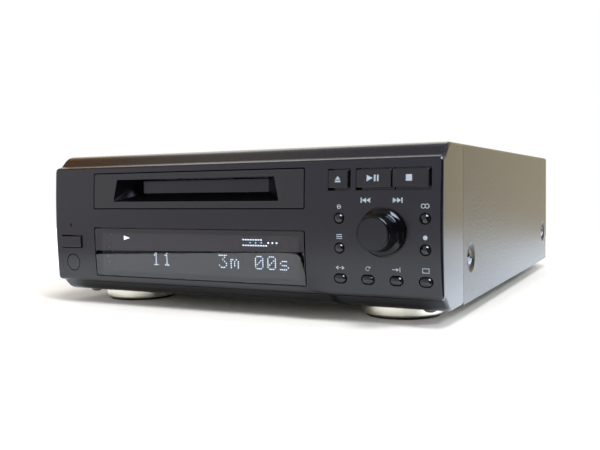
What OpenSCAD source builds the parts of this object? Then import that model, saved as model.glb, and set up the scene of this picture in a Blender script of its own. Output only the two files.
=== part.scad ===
// Half-width cartridge disc recorder: a steel case on four round feet, a bowed moulded front
// with a slot, a display window, twelve keys and a jog knob, and the loading deck behind the slot.
// Built in the casing's own coordinates: X across from the middle, Y back from the foremost
// line of the front face, Z up from the underside of the casing. placed() then stands it on its feet.

/* [Casing] */
// Width over the steel cover
body_w = 210; // [206:1:230]
// Height of the casing without its feet
body_h = 71; // [70:1:80]
// Depth from the front face to the rear edge of the cover
body_d = 260; // [256:1:300]
// Thickness of the cover sheet
cover_t = 1; // [0.8:0.1:1.2]
// Thickness of the chassis and rear panel sheet
chassis_t = 1.2; // [1:0.1:1.5]
// Outer bend radius along the cover's top edges
cover_bend = 1.6; // [1.4:0.1:3]
// Gap between sheet parts that lie side by side
sheet_gap = 0.1; // [0.05:0.05:0.15]
// Height of the chassis side walls
wall_h = 32; // [30:1:36]
// Height of the cover's turned-down rear lip
lip_h = 9; // [8:0.5:12]

/* [Front bezel] */
// Depth of the moulded bezel along the sides
bezel_d = 31.5; // [30:0.5:36]
// Depth of the front wall behind the foremost line of the face
face_t = 3.8; // [3.6:0.1:4.2]
// Wall of the bezel's sides, top and bottom
bezel_wall = 2.4; // [2:0.1:3]
// Height of the face's lower edge
face_low = 7; // [6.6:0.1:7.4]
// Drop of the face's upper edge below the casing top
face_drop = 6.4; // [6:0.1:7]
// How far the face bulges forward between its edges
bow_sag = 1.4; // [1:0.1:1.8]
// Depth at which the coves reach the top and the underside
cove_y = 14; // [13.5:0.1:14.8]
// Radius of the round where a cove meets the top or the underside
cove_r = 8; // [6:0.5:9]
// Rise of the small ledge behind the face's edges
ledge_rise = 0.7; // [0.4:0.1:1]
// Rounding of the face's outline
face_round = 1.6; // [1:0.1:2]
// Dark groove around each inset panel
groove = 0.5; // [0.4:0.05:0.6]

/* [Panels] */
// Distance from the casing's left side to the slot and display panels
panel_left = 27.35; // [27:0.05:28.5]
// Distance from these panels to the casing's right side
panel_right = 62.35; // [62:0.05:63]
// Drop of the slot panel below the casing's top
slot_panel_drop = 9.9; // [9.7:0.1:10.1]
// Height of the slot panel
slot_panel_h = 17.3; // [17:0.1:17.5]
// Lower edge of the display window
window_z = 9.5; // [9:0.1:10]
// Height of the display window
window_h = 24.1; // [23.5:0.1:24.5]
// Thickness left under the display window's pocket
window_seat = 1.2; // [1:0.1:1.4]
// Corner radius of the inset panels
panel_round = 0.9; // [0.6:0.1:1.5]

/* [Cartridge slot] */
// Width of the funnel's mouth along its lower edge
mouth_w = 95; // [93:0.5:97]
// Width lost by the mouth's upper edge
mouth_lean = 4.6; // [3:0.1:5]
// Rise of the mouth's lower edge above the slot panel's
mouth_rise = 3.3; // [3:0.1:3.6]
// Height of the funnel's mouth
mouth_h = 10.9; // [10.7:0.1:11.1]
// Depth of the funnel
funnel_d = 10; // [9:0.5:10.5]
// Width of the slot behind the funnel
slot_w = 74.4; // [73.6:0.1:74.6]
// Rise of the funnel's floor from the mouth to the slot
slot_rise = 3.6; // [3.3:0.1:3.7]
// Wall of the funnel and of the slot's frame
funnel_wall = 1.8; // [1.4:0.1:2]
// Depth of the slot's frame behind the funnel
frame_d = 4; // [3.6:0.1:4.4]
// Thickness of the flap
flap_t = 1.2; // [1:0.1:1.3]
// Gap around the flap
flap_gap = 0.3; // [0.3:0.05:0.4]
// Radius of the flap's hinge pins
flap_pin_r = 0.7; // [0.6:0.05:0.75]
// Radial clearance of pins and shafts in their bores
pin_fit = 0.06; // [0.04:0.01:0.08]

/* [Keys and knob] */
// Left edge of the eject key's opening, from the casing's right side
eject_in = 50.5; // [50:0.1:51]
// Width of the eject key's opening
eject_w = 10; // [9.6:0.1:10.4]
// Left edge of the opening shared by the play and stop keys, from the right side
play_in = 37.6; // [37:0.1:38]
// Width of each of these two keys' places
play_w = 16.3; // [16:0.1:16.5]
// Drop of the three large keys' openings below the casing's top
large_drop = 10.5; // [10.3:0.1:10.7]
// Height of the three large keys' openings
large_h = 8.9; // [8.6:0.1:9.2]
// Gap between a key and the edge of its opening
key_gap = 0.4; // [0.35:0.05:0.5]
// How far the large keys stand proud of the face
key_proud = 1; // [0.6:0.1:1.4]
// Bevel along the edges of the large keys
key_bevel = 0.7; // [0.4:0.1:0.9]
// Travel of every key
key_travel = 0.8; // [0.6:0.1:0.9]
// Left column of small keys, from the right side
column_in = 45.4; // [45:0.1:46]
// Right column of small keys, from the right side
column_end = 7.3; // [7:0.1:7.6]
// Height of the row of oval keys
oval_z = 13.5; // [13.2:0.1:13.8]
// Height of the lower pair of round keys
round_low_z = 26.7; // [26.3:0.1:27]
// Height of the upper pair of round keys
round_high_z = 39.5; // [39.2:0.1:39.8]
// Radius of a small key's opening
small_hole_r = 2.45; // [2.35:0.05:2.5]
// Half the extra length of an oval key
oval_stretch = 0.85; // [0.6:0.05:1]
// Middle of the knob, from the right side
knob_in = 25.6; // [25.2:0.1:26]
// Height of the knob's middle
knob_z = 33.8; // [33.6:0.1:34]
// Radius of the knob's front disc
knob_r = 7.8; // [7:0.1:8.2]
// Radius of the knob's skirt
skirt_r = 9.9; // [9.5:0.1:10.1]
// Radius of the dish around the knob
dish_r = 10.6; // [10.5:0.1:10.9]
// Depth of the dish
dish_d = 0.8; // [0.6:0.1:1]
// How far the knob stands out of the face
knob_proud = 12; // [10:0.5:14]
// Radius of the encoder's shaft
shaft_r = 3; // [2.5:0.1:3.2]
// Middle of the power key, indicator and sensor, from the left side
left_in = 11.5; // [11.2:0.1:11.8]
// Width of the power key's opening
power_w = 14; // [13.5:0.1:14.4]
// Height of the power key's opening
power_h = 6.5; // [6.2:0.1:6.8]
// Height of the power key's middle
power_z = 26.5; // [26:0.1:27]
// Height of the standby indicator
lamp_z = 35; // [34.5:0.1:35.5]
// Radius of the standby indicator
lamp_r = 0.75; // [0.6:0.05:0.9]
// Height of the sensor window's middle
sensor_z = 15.6; // [15:0.1:16]
// Radius of the sensor window
sensor_r = 4.1; // [3.8:0.1:4.3]

/* [Feet and screws] */
// Inset of a foot's middle from the side
foot_in_x = 29; // [28:0.5:31]
// Inset of a foot's middle from the front or rear
foot_in_y = 34.4; // [34.2:0.1:36]
// Radius of a foot
foot_r = 18.8; // [17:0.1:19]
// Height of a foot without its pad
foot_h = 4.8; // [4.4:0.1:6]
// Rounding of a foot's lower rim
foot_round = 0.8; // [0.4:0.1:1]
// Thickness of the pad under a foot
pad_t = 1.2; // [0.8:0.1:2]
// Height of the cover's side screws
side_screw_z = 20; // [19:0.5:22]
// Inset of the cover's side screws from the front face and from the rear edge
side_screw_in = [45.2, 15]; // [14:0.1:50]
// Radius of the dimple pressed around a side screw
dimple_r = 7; // [6:0.1:8]
// Depth of that dimple
dimple_d = 1.1; // [0.9:0.1:1.2]
// Radius of an M3 screw's shank
m3_r = 1.5; // [1.4:0.05:1.55]
// Radial clearance between a shank and the hole it is threaded or passed through
screw_fit = 0.05; // [0.03:0.01:0.08]
// Radius of a pan head
head_r = 2.9; // [2.7:0.1:3]
// Height of a pan head
head_h = 1.9; // [1.6:0.1:2]
// Length of the casing screws
case_screw_l = 7.5; // [7:0.1:7.8]
// Length of the screws inside
inner_screw_l = 8.5; // [8.2:0.1:8.8]

/* [Boards] */
// Thickness of a circuit board
board_t = 1.6; // [1.2:0.1:1.8]
// Front of the board behind the bezel
front_board_y = 12; // [11.8:0.1:12.4]
// Height of the two lower boards' undersides
board_z = 9.2; // [9:0.1:9.8]
// Thickness of a tact switch
switch_t = 3.5; // [3.3:0.1:3.7]

/* [Deck] */
// Drop of the deck's base plate below the slot's floor
deck_drop = 11.9; // [11.8:0.05:12]
// Depth of the spindle behind the face
spindle_y = 55; // [54.8:0.1:55.4]
// Width of the cartridge
cartridge_w = 72; // [71.8:0.1:72]
// Length of the cartridge along the slot
cartridge_l = 68; // [67.6:0.1:68]
// Thickness of the cartridge
cartridge_t = 5; // [4.8:0.1:5]
// How far the holder comes down with a cartridge
holder_drop = 4.5; // [4.3:0.1:4.5]
// How far the loading slide moves
slide_travel = 9; // [8.8:0.1:9]
// How far the pickup moves
sled_travel = 17; // [16.5:0.1:17]
// Radius of the disc tracks where the pickup rests
track_r = 15; // [14.8:0.1:15]
// Module of the loading slide's rack
rack_m = 0.8; // [0.8:0.1:0.8]
// Module of the small gears
gear_m = 0.5; // [0.5:0.1:0.5]
// Backlash between teeth
backlash = 0.14; // [0.1:0.01:0.16]

/* [Hidden] */
$fn = 48;

stand_h = foot_h + pad_t;
half_w = body_w / 2;
chassis_out = half_w - cover_t - dimple_d - sheet_gap;
chassis_in = chassis_out - chassis_t;
rear_in = body_d - cover_t - sheet_gap - chassis_t;
rear_out = rear_in + chassis_t;
flange_in = rear_in - sheet_gap - chassis_t;
barrel_l = 8.5;
barrel_r = 4.15;
depth_mid = (rear_out + barrel_l - knob_proud) / 2;

face_high = body_h - face_drop;
half_face = (face_high - face_low) / 2;
bow_r = (half_face * half_face + bow_sag * bow_sag) / (2 * bow_sag);
bow_z = (face_high + face_low) / 2;
cove_run = cove_r * sin(45);
cove_rise = cove_r - cove_run;
tongue_l = 4;
panel_w = body_w - panel_left - panel_right;
panel_x = (panel_left - panel_right) / 2;
slot_panel_z = body_h - slot_panel_drop - slot_panel_h;
mouth_z = slot_panel_z + mouth_rise;
mouth_top = mouth_z + mouth_h;
slot_z = mouth_z + slot_rise;
deck_z = slot_z - deck_drop;
large_z = body_h - large_drop - large_h;
chassis_front = cove_y + 1.2;
bezel_floor_d = chassis_front + 10;
cover_y = bezel_d + 0.25;

// Depth of the bowed face at a height
function bow_y(z) = bow_r - sqrt(bow_r * bow_r - (z - bow_z) * (z - bow_z));
// Lean of the face at a height, in degrees
function bow_tilt(z) = asin((z - bow_z) / bow_r);

column_x = half_w - column_in;
oval_pitch = (column_in - column_end) / 3;
row_x = [for (i = [0:3]) column_x + i * oval_pitch];
knob_x = half_w - knob_in;
left_x = left_in - half_w;
eject_x = half_w - eject_in;
play_x = half_w - play_in;
key_lip = 0.8;
key_lip_t = 1;
key_back = 0.3;
switch_y = front_board_y - switch_t;
stem_r = 1.4;
stem_in = 0.9;
small_r = small_hole_r - key_gap;

flap_y = funnel_d + 1.5;
frame_y = funnel_d + frame_d;
flap_z = mouth_top - flap_gap - flap_t / 2;
spring_l = 2.8;

foot_x = half_w - foot_in_x;
foot_y = [foot_in_y, body_d - foot_in_y];
bezel_screw_x = half_w - 11;
bezel_screw_y = 18.2;
lip_screw_x = 60;
flange_screw_x = 88;
flange_screw_z = 6.2;
side_screw_y = [side_screw_in[0], body_d - side_screw_in[1]];
cover_screw_r = 1.9;
cover_head_r = 3.5;
cover_head_h = 1.5;
standoff_r = 3.5;

plate_t = 1.2;
deck_top = deck_z + plate_t;
deck_y = [22, 120];
holder_fit = 0.4;
holder_t = 0.8;
holder_in = cartridge_w / 2 + holder_fit;
holder_out = holder_in + holder_t;
holder_y = [19.5, spindle_y + cartridge_l / 2 + 2];
holder_z = slot_z + 0.3;
holder_ceiling = holder_z + holder_t + cartridge_t + 0.6;
slide_in = holder_out + 1.4;
slide_out = slide_in + 1.2;
wall_in = slide_out + 1.2;
wall_out = wall_in + plate_t;
pin_r = 1.2;
pin_z = holder_z + 3.6;
pin_y = [30, 80];
slot_r = pin_r + 0.3;
rod_r = 1.2;
rod_z = deck_top + 2.5;
rod_y = [spindle_y - 14, spindle_y + 14];
sled_z = [deck_top + 0.4, deck_top + 5];
lens_side = 6;
sled_side = 8.4;
ear_x = 48;
ear_y = [34, 110];
stand_y = [ear_y[0] - 6, ear_y[1] + 8];
damper_r = 4.5;
stand_top = deck_z - 6.8;
head_y = [spindle_y - 4, spindle_y + 4];
head_pivot = [track_r + 33, deck_top + 22];
head_pin_r = 1;

rack_teeth = 12;
big_teeth = 38;
pinion_teeth = 10;
rack_x = 33;
load_r = rack_m * rack_teeth / 2;
load_x = rack_x - load_r;
load_y = 104;
load_far = gear_m * (big_teeth + pinion_teeth) / 2;
sled_teeth = 12;
wheel_teeth = 36;
worm_teeth = 9;
sled_rack_y = spindle_y + 24;
sled_r = gear_m * sled_teeth / 2;
sled_gear_x = 20;
sled_gear_y = sled_rack_y + sled_r;
sled_far = gear_m * (wheel_teeth + worm_teeth) / 2;
pressure = 25;
stub = 0.8;
root = 1.1;

boss_z = slot_panel_z - 5.4;
front_bosses = [[left_x + 9.6, boss_z], [left_x + 9.6, 11.8], [column_x - 10.9, boss_z],
    [column_x - 9.9, 20], [row_x[3] - 7.7, large_z - 4.7], [row_x[3] - 6.3, 20.1]];
main_board_x = [-20, half_w - 8];
main_board_y = [128, rear_in - 5.6];
power_board_x = [8 - half_w, -34];
power_board_y = [stand_y[1] + 2, stand_y[1] + 48];
// The four corners of a board's standoffs, a set distance in from its edges
function corners(x, y, inset) = [for (i = [0, 1], j = [0, 1])
    [x[i] + (i == 0 ? inset : -inset), y[j] + (j == 0 ? inset : -inset)]];
board_posts = concat(corners(main_board_x, main_board_y, 5), corners(power_board_x, power_board_y, 5));
core_x = 23;
core_y = 19;
bobbin_y = 25;
core_gap = 4.8;
core_h = 38;
transformer_x = power_board_x[0] + core_x + 5;
transformer_y = power_board_y[1] + bobbin_y + 1;
socket_x = half_w - 55;
socket_z = [18, 32];
socket_pitch = 14;
port_x = half_w - 24;
inlet_x = 27 - half_w;
inlet_z = 24;
vent_w = 3;
vent_pitch = 7;

module placed() translate([0, -depth_mid, stand_h]) children();
module in_deck() placed() translate([panel_x, 0, 0]) children();

// Basic forms, each given by its limits along the axes
module block(x, y, z) translate([x[0], y[0], z[0]]) cube([x[1] - x[0], y[1] - y[0], z[1] - z[0]]);
module along_x(x) translate([x[0], 0, 0]) rotate([90, 0, 90]) linear_extrude(x[1] - x[0]) children();
module along_y(y) translate([0, y[1], 0]) rotate([90, 0, 0]) linear_extrude(y[1] - y[0]) children();
module along_z(z) translate([0, 0, z[0]]) linear_extrude(z[1] - z[0]) children();
module rod_x(x, y, z, r) translate([x[0], y, z]) rotate([0, 90, 0]) cylinder(h = x[1] - x[0], r = r);
module rod_y(x, y, z, r) translate([x, y[1], z]) rotate([90, 0, 0]) cylinder(h = y[1] - y[0], r = r);
module rod_z(x, y, z, r) translate([x, y, z[0]]) cylinder(h = z[1] - z[0], r = r);
module sides() for (s = [0, 1]) mirror([s, 0, 0]) children();

// A rectangle with true round corners
module round_rect(x, z, r) {
    translate([x[0] + r, z[0]]) square([x[1] - x[0] - 2 * r, z[1] - z[0]]);
    translate([x[0], z[0] + r]) square([x[1] - x[0], z[1] - z[0] - 2 * r]);
    for (i = [0, 1], j = [0, 1])
        translate([x[i] + (i == 0 ? r : -r), z[j] + (j == 0 ? r : -r)]) circle(r);
}

// A slot of half-width r between two points
module slot_line(p, q, r) {
    along = q - p;
    for (c = [p, q]) translate(c) circle(r);
    translate(p) rotate(atan2(along[1], along[0])) translate([0, -r]) square([norm(along), 2 * r]);
}

// The bowed front as a solid of revolution about its own axis, with rounded rims
module bow_solid(proud = 0) {
    r = bow_r + proud;
    translate([0, bow_r, bow_z]) rotate([0, 90, 0]) rotate_extrude($fn = 256) {
        translate([0, -half_w]) square([r - face_round, body_w]);
        translate([0, face_round - half_w]) square([r, body_w - 2 * face_round]);
        for (s = [-1, 1]) translate([r - face_round, s * (half_w - face_round)]) circle(face_round);
    }
}

// Side view of the bezel, without the bow: face, ledges, coves and rounds
module bezel_outline() {
    low_z = face_low - ledge_rise;
    high_z = face_high + ledge_rise;
    polygon([[-1, face_low], [-1, face_high],
        [cove_y - cove_run - (body_h - cove_rise - high_z), high_z],
        [cove_y - cove_run, body_h - cove_rise], [cove_y, body_h], [bezel_d, body_h],
        [bezel_d, 0], [cove_y, 0], [cove_y - cove_run, cove_rise],
        [cove_y - cove_run - (low_z - cove_rise), low_z]]);
    for (z = [cove_r, body_h - cove_r]) translate([cove_y, z]) circle(cove_r);
}

// The hollow behind the bezel's walls, open to the rear
module bezel_hollow() {
    floor_z = chassis_t + sheet_gap + bezel_wall;
    roof_z = body_h - bezel_wall;
    polygon([[face_t, face_low + bezel_wall], [face_t, face_high - bezel_wall],
        [face_t + 4, face_high - bezel_wall + 2], [cove_y, roof_z], [bezel_d + 9, roof_z],
        [bezel_d + 9, -1], [bezel_floor_d, -1], [bezel_floor_d, floor_z], [cove_y, floor_z],
        [face_t + 4, face_low + bezel_wall - 2]]);
}

module small_hole(x, z, r, stretch = 0, y = [-3, 9])
    along_y(y) slot_line([x - stretch, z], [x + stretch + 0.001, z], r);

module front_bezel() color([0.17, 0.17, 0.19]) placed() {
    difference() {
        union() {
            difference() {
                intersection() {
                    along_x([-half_w, half_w]) bezel_outline();
                    bow_solid();
                }
                along_x([bezel_wall - half_w, half_w - bezel_wall]) bezel_hollow();
                block([-chassis_out - sheet_gap, chassis_out + sheet_gap],
                    [chassis_front - 0.2, bezel_d + 1], [-1, chassis_t + sheet_gap]);
            }
            // Tongue that the cover slides over
            block([bezel_wall + 0.2 - half_w, half_w - bezel_wall - 0.2],
                [bezel_d - 6, bezel_d + tongue_l],
                [body_h - bezel_wall - 0.1, body_h - cover_t - 0.3]);
            // Bosses for the board and for the screws from below
            for (b = front_bosses) rod_y(b[0], [face_t - 0.5, front_board_y], b[1], 3);
            sides() rod_z(bezel_screw_x, bezel_screw_y, [chassis_t + sheet_gap, 9.3], 3.3);
        }
        // Cut back under the cover's bends
        sides() block([half_w - cover_bend - cover_t, half_w], [bezel_d, bezel_d + tongue_l + 1],
            [body_h - 6, body_h]);
        for (b = front_bosses) rod_y(b[0], [face_t + 0.7, front_board_y + 1], b[1], m3_r + screw_fit);
        sides() rod_z(bezel_screw_x, bezel_screw_y, [-1, case_screw_l + 0.5], m3_r + screw_fit);
        face_openings();
        face_corners();
    }
}

// Rounds off the four corners of the face as seen from the front
module face_corners() sides() for (s = [[face_high, 1], [face_low, -1]])
    along_y([-2, cove_y - cove_run - (face_low - ledge_rise - cove_rise)]) difference() {
        translate([half_w - face_round, s[1] > 0 ? s[0] - face_round : s[0] - 2])
            square([face_round + 1, face_round + 2]);
        translate([half_w - face_round, s[0] - s[1] * face_round]) circle(face_round);
    }

module face_openings() {
    reach = [panel_x - panel_w / 2 - groove, panel_x + panel_w / 2 + groove];
    along_y([-3, face_t + 1])
        round_rect(reach, [slot_panel_z - groove, slot_panel_z + slot_panel_h + groove], panel_round);
    along_y([-3, face_t - window_seat])
        round_rect(reach, [window_z - groove, window_z + window_h + groove], panel_round);
    block([reach[0] + 4, reach[1] - 4], [0, face_t + 1], [window_z + 2.4, window_z + window_h - 2.4]);
    block([eject_x, eject_x + eject_w], [-3, 9], [large_z, large_z + large_h]);
    block([play_x, play_x + 2 * play_w], [-3, 9], [large_z, large_z + large_h]);
    block([left_x - power_w / 2, left_x + power_w / 2], [-3, 9],
        [power_z - power_h / 2, power_z + power_h / 2]);
    for (x = [row_x[0], row_x[3]], z = [round_low_z, round_high_z]) small_hole(x, z, small_hole_r);
    for (x = row_x) small_hole(x, oval_z, small_hole_r - 0.2, oval_stretch);
    rod_y(knob_x, [-3, dish_d], knob_z, dish_r);
    rod_y(knob_x, [-3, 9], knob_z, shaft_r + 1.9);
    rod_y(left_x, [-3, 9], lamp_z, lamp_r + 0.15);
    rod_y(left_x, [-3, 9], sensor_z, sensor_r + 0.35);
}

// The slot's funnel, grown by a wall thickness g and reaching from y[0] to y[1]
module funnel(g, y) {
    low = (slot_z - mouth_z) / funnel_d;
    taper = (mouth_w - slot_w) / 2 / funnel_d;
    intersection() {
        along_z([mouth_z - 4, mouth_top + 4]) polygon([
            [taper * y[0] - mouth_w / 2 - g, y[0]], [mouth_w / 2 + g - taper * y[0], y[0]],
            [slot_w / 2 + g, y[1]], [-slot_w / 2 - g, y[1]]]);
        along_x([-mouth_w, mouth_w]) polygon([[y[0], mouth_z - g + low * y[0]],
            [y[0], mouth_top + g], [y[1], mouth_top + g], [y[1], slot_z - g]]);
        along_y([y[0], y[1]]) polygon([[-mouth_w / 2 - g, mouth_z], [mouth_w / 2 + g, mouth_z],
            [mouth_w / 2 + g - mouth_lean / 2, mouth_top + g],
            [mouth_lean / 2 - mouth_w / 2 - g, mouth_top + g]]);
    }
}

module slot_panel() color([0.19, 0.19, 0.19]) in_deck() difference() {
    union() {
        intersection() {
            along_y([-1, face_t + 0.1]) round_rect([-panel_w / 2, panel_w / 2],
                [slot_panel_z, slot_panel_z + slot_panel_h], panel_round - 0.2);
            translate([-panel_x, 0, 0]) bow_solid();
        }
        along_y([face_t + 0.05, face_t + 1.6]) round_rect([-panel_w / 2 - 2, panel_w / 2 + 2],
            [slot_panel_z - 1.6, face_high - bezel_wall - 0.2], 0.5);
        funnel(funnel_wall, [0.9, funnel_d]);
        block([-slot_w / 2 - funnel_wall, slot_w / 2 + funnel_wall], [funnel_d - 0.01, frame_y],
            [slot_z - funnel_wall, mouth_top + funnel_wall]);
    }
    funnel(0, [-1, funnel_d]);
    block([-slot_w / 2, slot_w / 2], [funnel_d - 0.1, frame_y + 1], [slot_z, mouth_top]);
    rod_x([-slot_w / 2 - funnel_wall - 1, slot_w / 2 + funnel_wall + 1], flap_y, flap_z,
        flap_pin_r + pin_fit);
}

module slot_flap() color([0.21, 0.21, 0.21]) in_deck() {
    half = slot_w / 2 - flap_gap;
    block([-half, half], [flap_y - flap_t / 2, flap_y + flap_t / 2], [slot_z + flap_gap, flap_z]);
    rod_x([-half, half], flap_y, flap_z, flap_t / 2);
    pin_x = slot_w / 2 + funnel_wall;
    rod_x([-pin_x - spring_l - 0.5, pin_x - 0.2], flap_y, flap_z, flap_pin_r);
}

// Closed coils of the flap's return spring, with one leg against the frame
module flap_spring() color("silver") in_deck() {
    start = -slot_w / 2 - funnel_wall - 0.1;
    difference() {
        union() {
            rod_x([start - spring_l, start], flap_y, flap_z, flap_pin_r + 0.8);
            rod_z(start - 0.3, flap_y + flap_pin_r + 0.5, [flap_z - 5, flap_z], 0.3);
        }
        rod_x([start - spring_l - 1, start + 1], flap_y, flap_z, flap_pin_r + 0.3);
    }
}

module display_window() color([0.1, 0.1, 0.12, 0.9]) in_deck() intersection() {
    along_y([-1, face_t - window_seat]) round_rect([-panel_w / 2, panel_w / 2],
        [window_z, window_z + window_h], panel_round - 0.2);
    translate([-panel_x, 0, 0]) bow_solid();
}

module sensor_window() color([0.14, 0.1, 0.12]) placed() {
    intersection() {
        rod_y(left_x, [-1, face_t + 0.1], sensor_z, sensor_r);
        bow_solid();
    }
    rod_y(left_x, [face_t + 0.05, face_t + 1.2], sensor_z, sensor_r + 1.4);
}

// A large key: bevelled cap that follows the bow, retaining lip behind the wall, and stem
module large_key(x, z, lip_left, lip_right, stem_x) {
    mid = (z[0] + z[1]) / 2;
    face = [for (h = z) bow_y(h) - key_proud];
    back = face_t + key_back;
    difference() {
        along_x(x) polygon([[face[0] + key_bevel, z[0]], [face[0], z[0] + key_bevel],
            [face[1], z[1] - key_bevel], [face[1] + key_bevel, z[1]],
            [back + key_lip_t, z[1]], [back + key_lip_t, z[0]]]);
        for (edge = x) translate([edge, bow_y(mid) - key_proud, mid]) rotate([-bow_tilt(mid), 0, 0])
            rotate([0, 0, 45]) cube([key_bevel * sqrt(2), key_bevel * sqrt(2), 2 * (z[1] - z[0])], true);
    }
    block([x[0] - lip_left, x[1] + lip_right], [back, back + key_lip_t],
        [z[0] - key_gap - key_lip, z[1] + key_gap + key_lip]);
    rod_y(stem_x, [back, switch_y + stem_in], mid, stem_r);
}

// A small domed key, stretched sideways into an oval if asked
module small_key(x, z, r, stretch = 0) {
    back = face_t + key_back;
    front = bow_y(z) - 0.6;
    intersection() {
        along_y([front, back + 0.1]) slot_line([x - stretch, z], [x + stretch + 0.001, z], r);
        rod_x([x - 5, x + 5], front + 2 * r, z, 2 * r);
        rod_z(x, front + 2 * (r + stretch), [z - 5, z + 5], 2 * (r + stretch));
    }
    along_y([back, back + key_lip_t])
        slot_line([x - stretch, z], [x + stretch + 0.001, z], r + key_gap + key_lip);
    rod_y(x, [back, switch_y + stem_in], z, stem_r);
}

large_low = large_z + 2 * key_gap;
large_high = large_z + large_h - key_gap;
large_mid = (large_low + large_high) / 2;
module key_color() color([0.2, 0.21, 0.22]) placed() children();
module power_button() key_color() large_key(
    [left_x - power_w / 2 + key_gap, left_x + power_w / 2 - key_gap],
    [power_z - power_h / 2 + key_gap, power_z + power_h / 2 - key_gap],
    key_gap + key_lip, key_gap + key_lip, left_x);
module eject_button() key_color() large_key([eject_x + key_gap, eject_x + eject_w - key_gap],
    [large_low, large_high], key_gap + key_lip, key_gap + key_lip, eject_x + eject_w / 2);
module play_button() key_color() large_key([play_x + key_gap, play_x + play_w - 0.2],
    [large_low, large_high], key_gap + key_lip, 0, play_x + play_w / 2);
module stop_button() key_color() large_key([play_x + play_w + 0.2, play_x + 2 * play_w - key_gap],
    [large_low, large_high], 0, key_gap + key_lip, play_x + 1.5 * play_w);
module edit_button() key_color() small_key(row_x[0], round_high_z, small_r);
module set_button() key_color() small_key(row_x[0], round_low_z, small_r);
module sync_button() key_color() small_key(row_x[3], round_high_z, small_r);
module record_button() key_color() small_key(row_x[3], round_low_z, small_r);
module scroll_button() key_color() small_key(row_x[0], oval_z, small_r - 0.2, oval_stretch);
module repeat_button() key_color() small_key(row_x[1], oval_z, small_r - 0.2, oval_stretch);
module input_button() key_color() small_key(row_x[2], oval_z, small_r - 0.2, oval_stretch);
module display_button() key_color() small_key(row_x[3], oval_z, small_r - 0.2, oval_stretch);

// Turned round its own axis: skirt in the dish, waisted side and a bevelled front disc
module jog_knob() color([0.13, 0.13, 0.14]) placed() translate([knob_x, 0, knob_z]) rotate([90, 0, 0])
    difference() {
        rotate_extrude() difference() {
            union() {
                polygon([[0, 0.3 - dish_d], [skirt_r, 0.3 - dish_d], [skirt_r, 1.7], [skirt_r - 0.7, 2.4],
                    [knob_r + 0.9, 2.9], [knob_r, knob_proud - 0.5], [knob_r - 0.5, knob_proud],
                    [knob_r - 0.9, knob_proud], [knob_r - 1.1, knob_proud - 0.15],
                    [0, knob_proud - 0.15]]);
                translate([skirt_r - 0.7, 1.7]) circle(0.7);
            }
            translate([shaft_r + 1.5, -2]) square([skirt_r - 1.4 - shaft_r - 1.5, 3]);
        }
        translate([0, 0, -2]) cylinder(h = knob_proud - 2, r = shaft_r + 0.02);
    }

module encoder_shaft() color("silver") placed()
    rod_y(knob_x, [4.5 - knob_proud, front_board_y - 2], knob_z, shaft_r);

module rotary_encoder() color([0.45, 0.45, 0.47]) placed() difference() {
    union() {
        block([knob_x - 6, knob_x + 6], [front_board_y - 6, front_board_y], [knob_z - 6, knob_z + 6]);
        rod_y(knob_x, [1.4, front_board_y - 5], knob_z, shaft_r + 1.5);
    }
    rod_y(knob_x, [0, front_board_y - 1.6], knob_z, shaft_r + pin_fit);
}

// Positions of all tact switches
function key_spots() = concat([[left_x, power_z], [eject_x + eject_w / 2, large_mid],
    [play_x + play_w / 2, large_mid], [play_x + 1.5 * play_w, large_mid]],
    [for (x = [row_x[0], row_x[3]], z = [round_low_z, round_high_z]) [x, z]],
    [for (x = row_x) [x, oval_z]]);

module tact_switches() color([0.2, 0.2, 0.2]) placed() for (s = key_spots()) difference() {
    block([s[0] - 3, s[0] + 3], [switch_y, front_board_y], [s[1] - 3, s[1] + 3]);
    rod_y(s[0], [switch_y - 1, switch_y + stem_in + key_travel + 0.5], s[1], stem_r + 0.35);
}

module front_board() color([0.1, 0.32, 0.18]) placed() difference() {
    union() {
        along_y([front_board_y, front_board_y + board_t]) polygon([[left_x - 7.5, window_z - 0.9],
            [row_x[3] + 3.3, window_z - 0.9], [row_x[3] + 3.3, large_z + large_h + 1.5],
            [column_x - 11.2, large_z + large_h + 1.5], [column_x - 11.2, slot_panel_z - 2],
            [left_x - 7.5, slot_panel_z - 2]]);
        // Receiver can behind the sensor window, and the cable's connector
        block([left_x - 3, left_x + 3], [face_t + 1.5, front_board_y], [sensor_z - 3, sensor_z + 3]);
        block(cable_x, [front_board_y + board_t, front_board_y + board_t + 5], [11, 15]);
    }
    for (b = front_bosses)
        rod_y(b[0], [front_board_y - 1, front_board_y + board_t + 1], b[1], m3_r + 0.2);
}

module display_tube() color([0.35, 0.42, 0.45, 0.6]) in_deck()
    block([7.15 - panel_w / 2, panel_w / 2 - 7.15], [front_board_y - 6.2, front_board_y],
        [window_z + 1.6, window_z + window_h - 1.6]);

module standby_lamp() color([0.5, 0.08, 0.06]) placed() {
    rod_y(left_x, [0.5, front_board_y - 4], lamp_z, lamp_r);
    rod_y(left_x, [front_board_y - 4.1, front_board_y], lamp_z, lamp_r + 0.8);
}

// Steel parts of the case
module cover_section(inset, low) {
    r = cover_bend - inset;
    half = half_w - inset;
    translate([-half, low]) square([2 * half, body_h - inset - r - low]);
    translate([r - half, low]) square([2 * (half - r), body_h - inset - low]);
    for (s = [-1, 1]) translate([s * (half - r), body_h - inset - r]) circle(r);
}

module at_side_screws() sides() for (y = side_screw_y)
    translate([half_w, y, side_screw_z]) rotate([0, -90, 0]) children();

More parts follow.
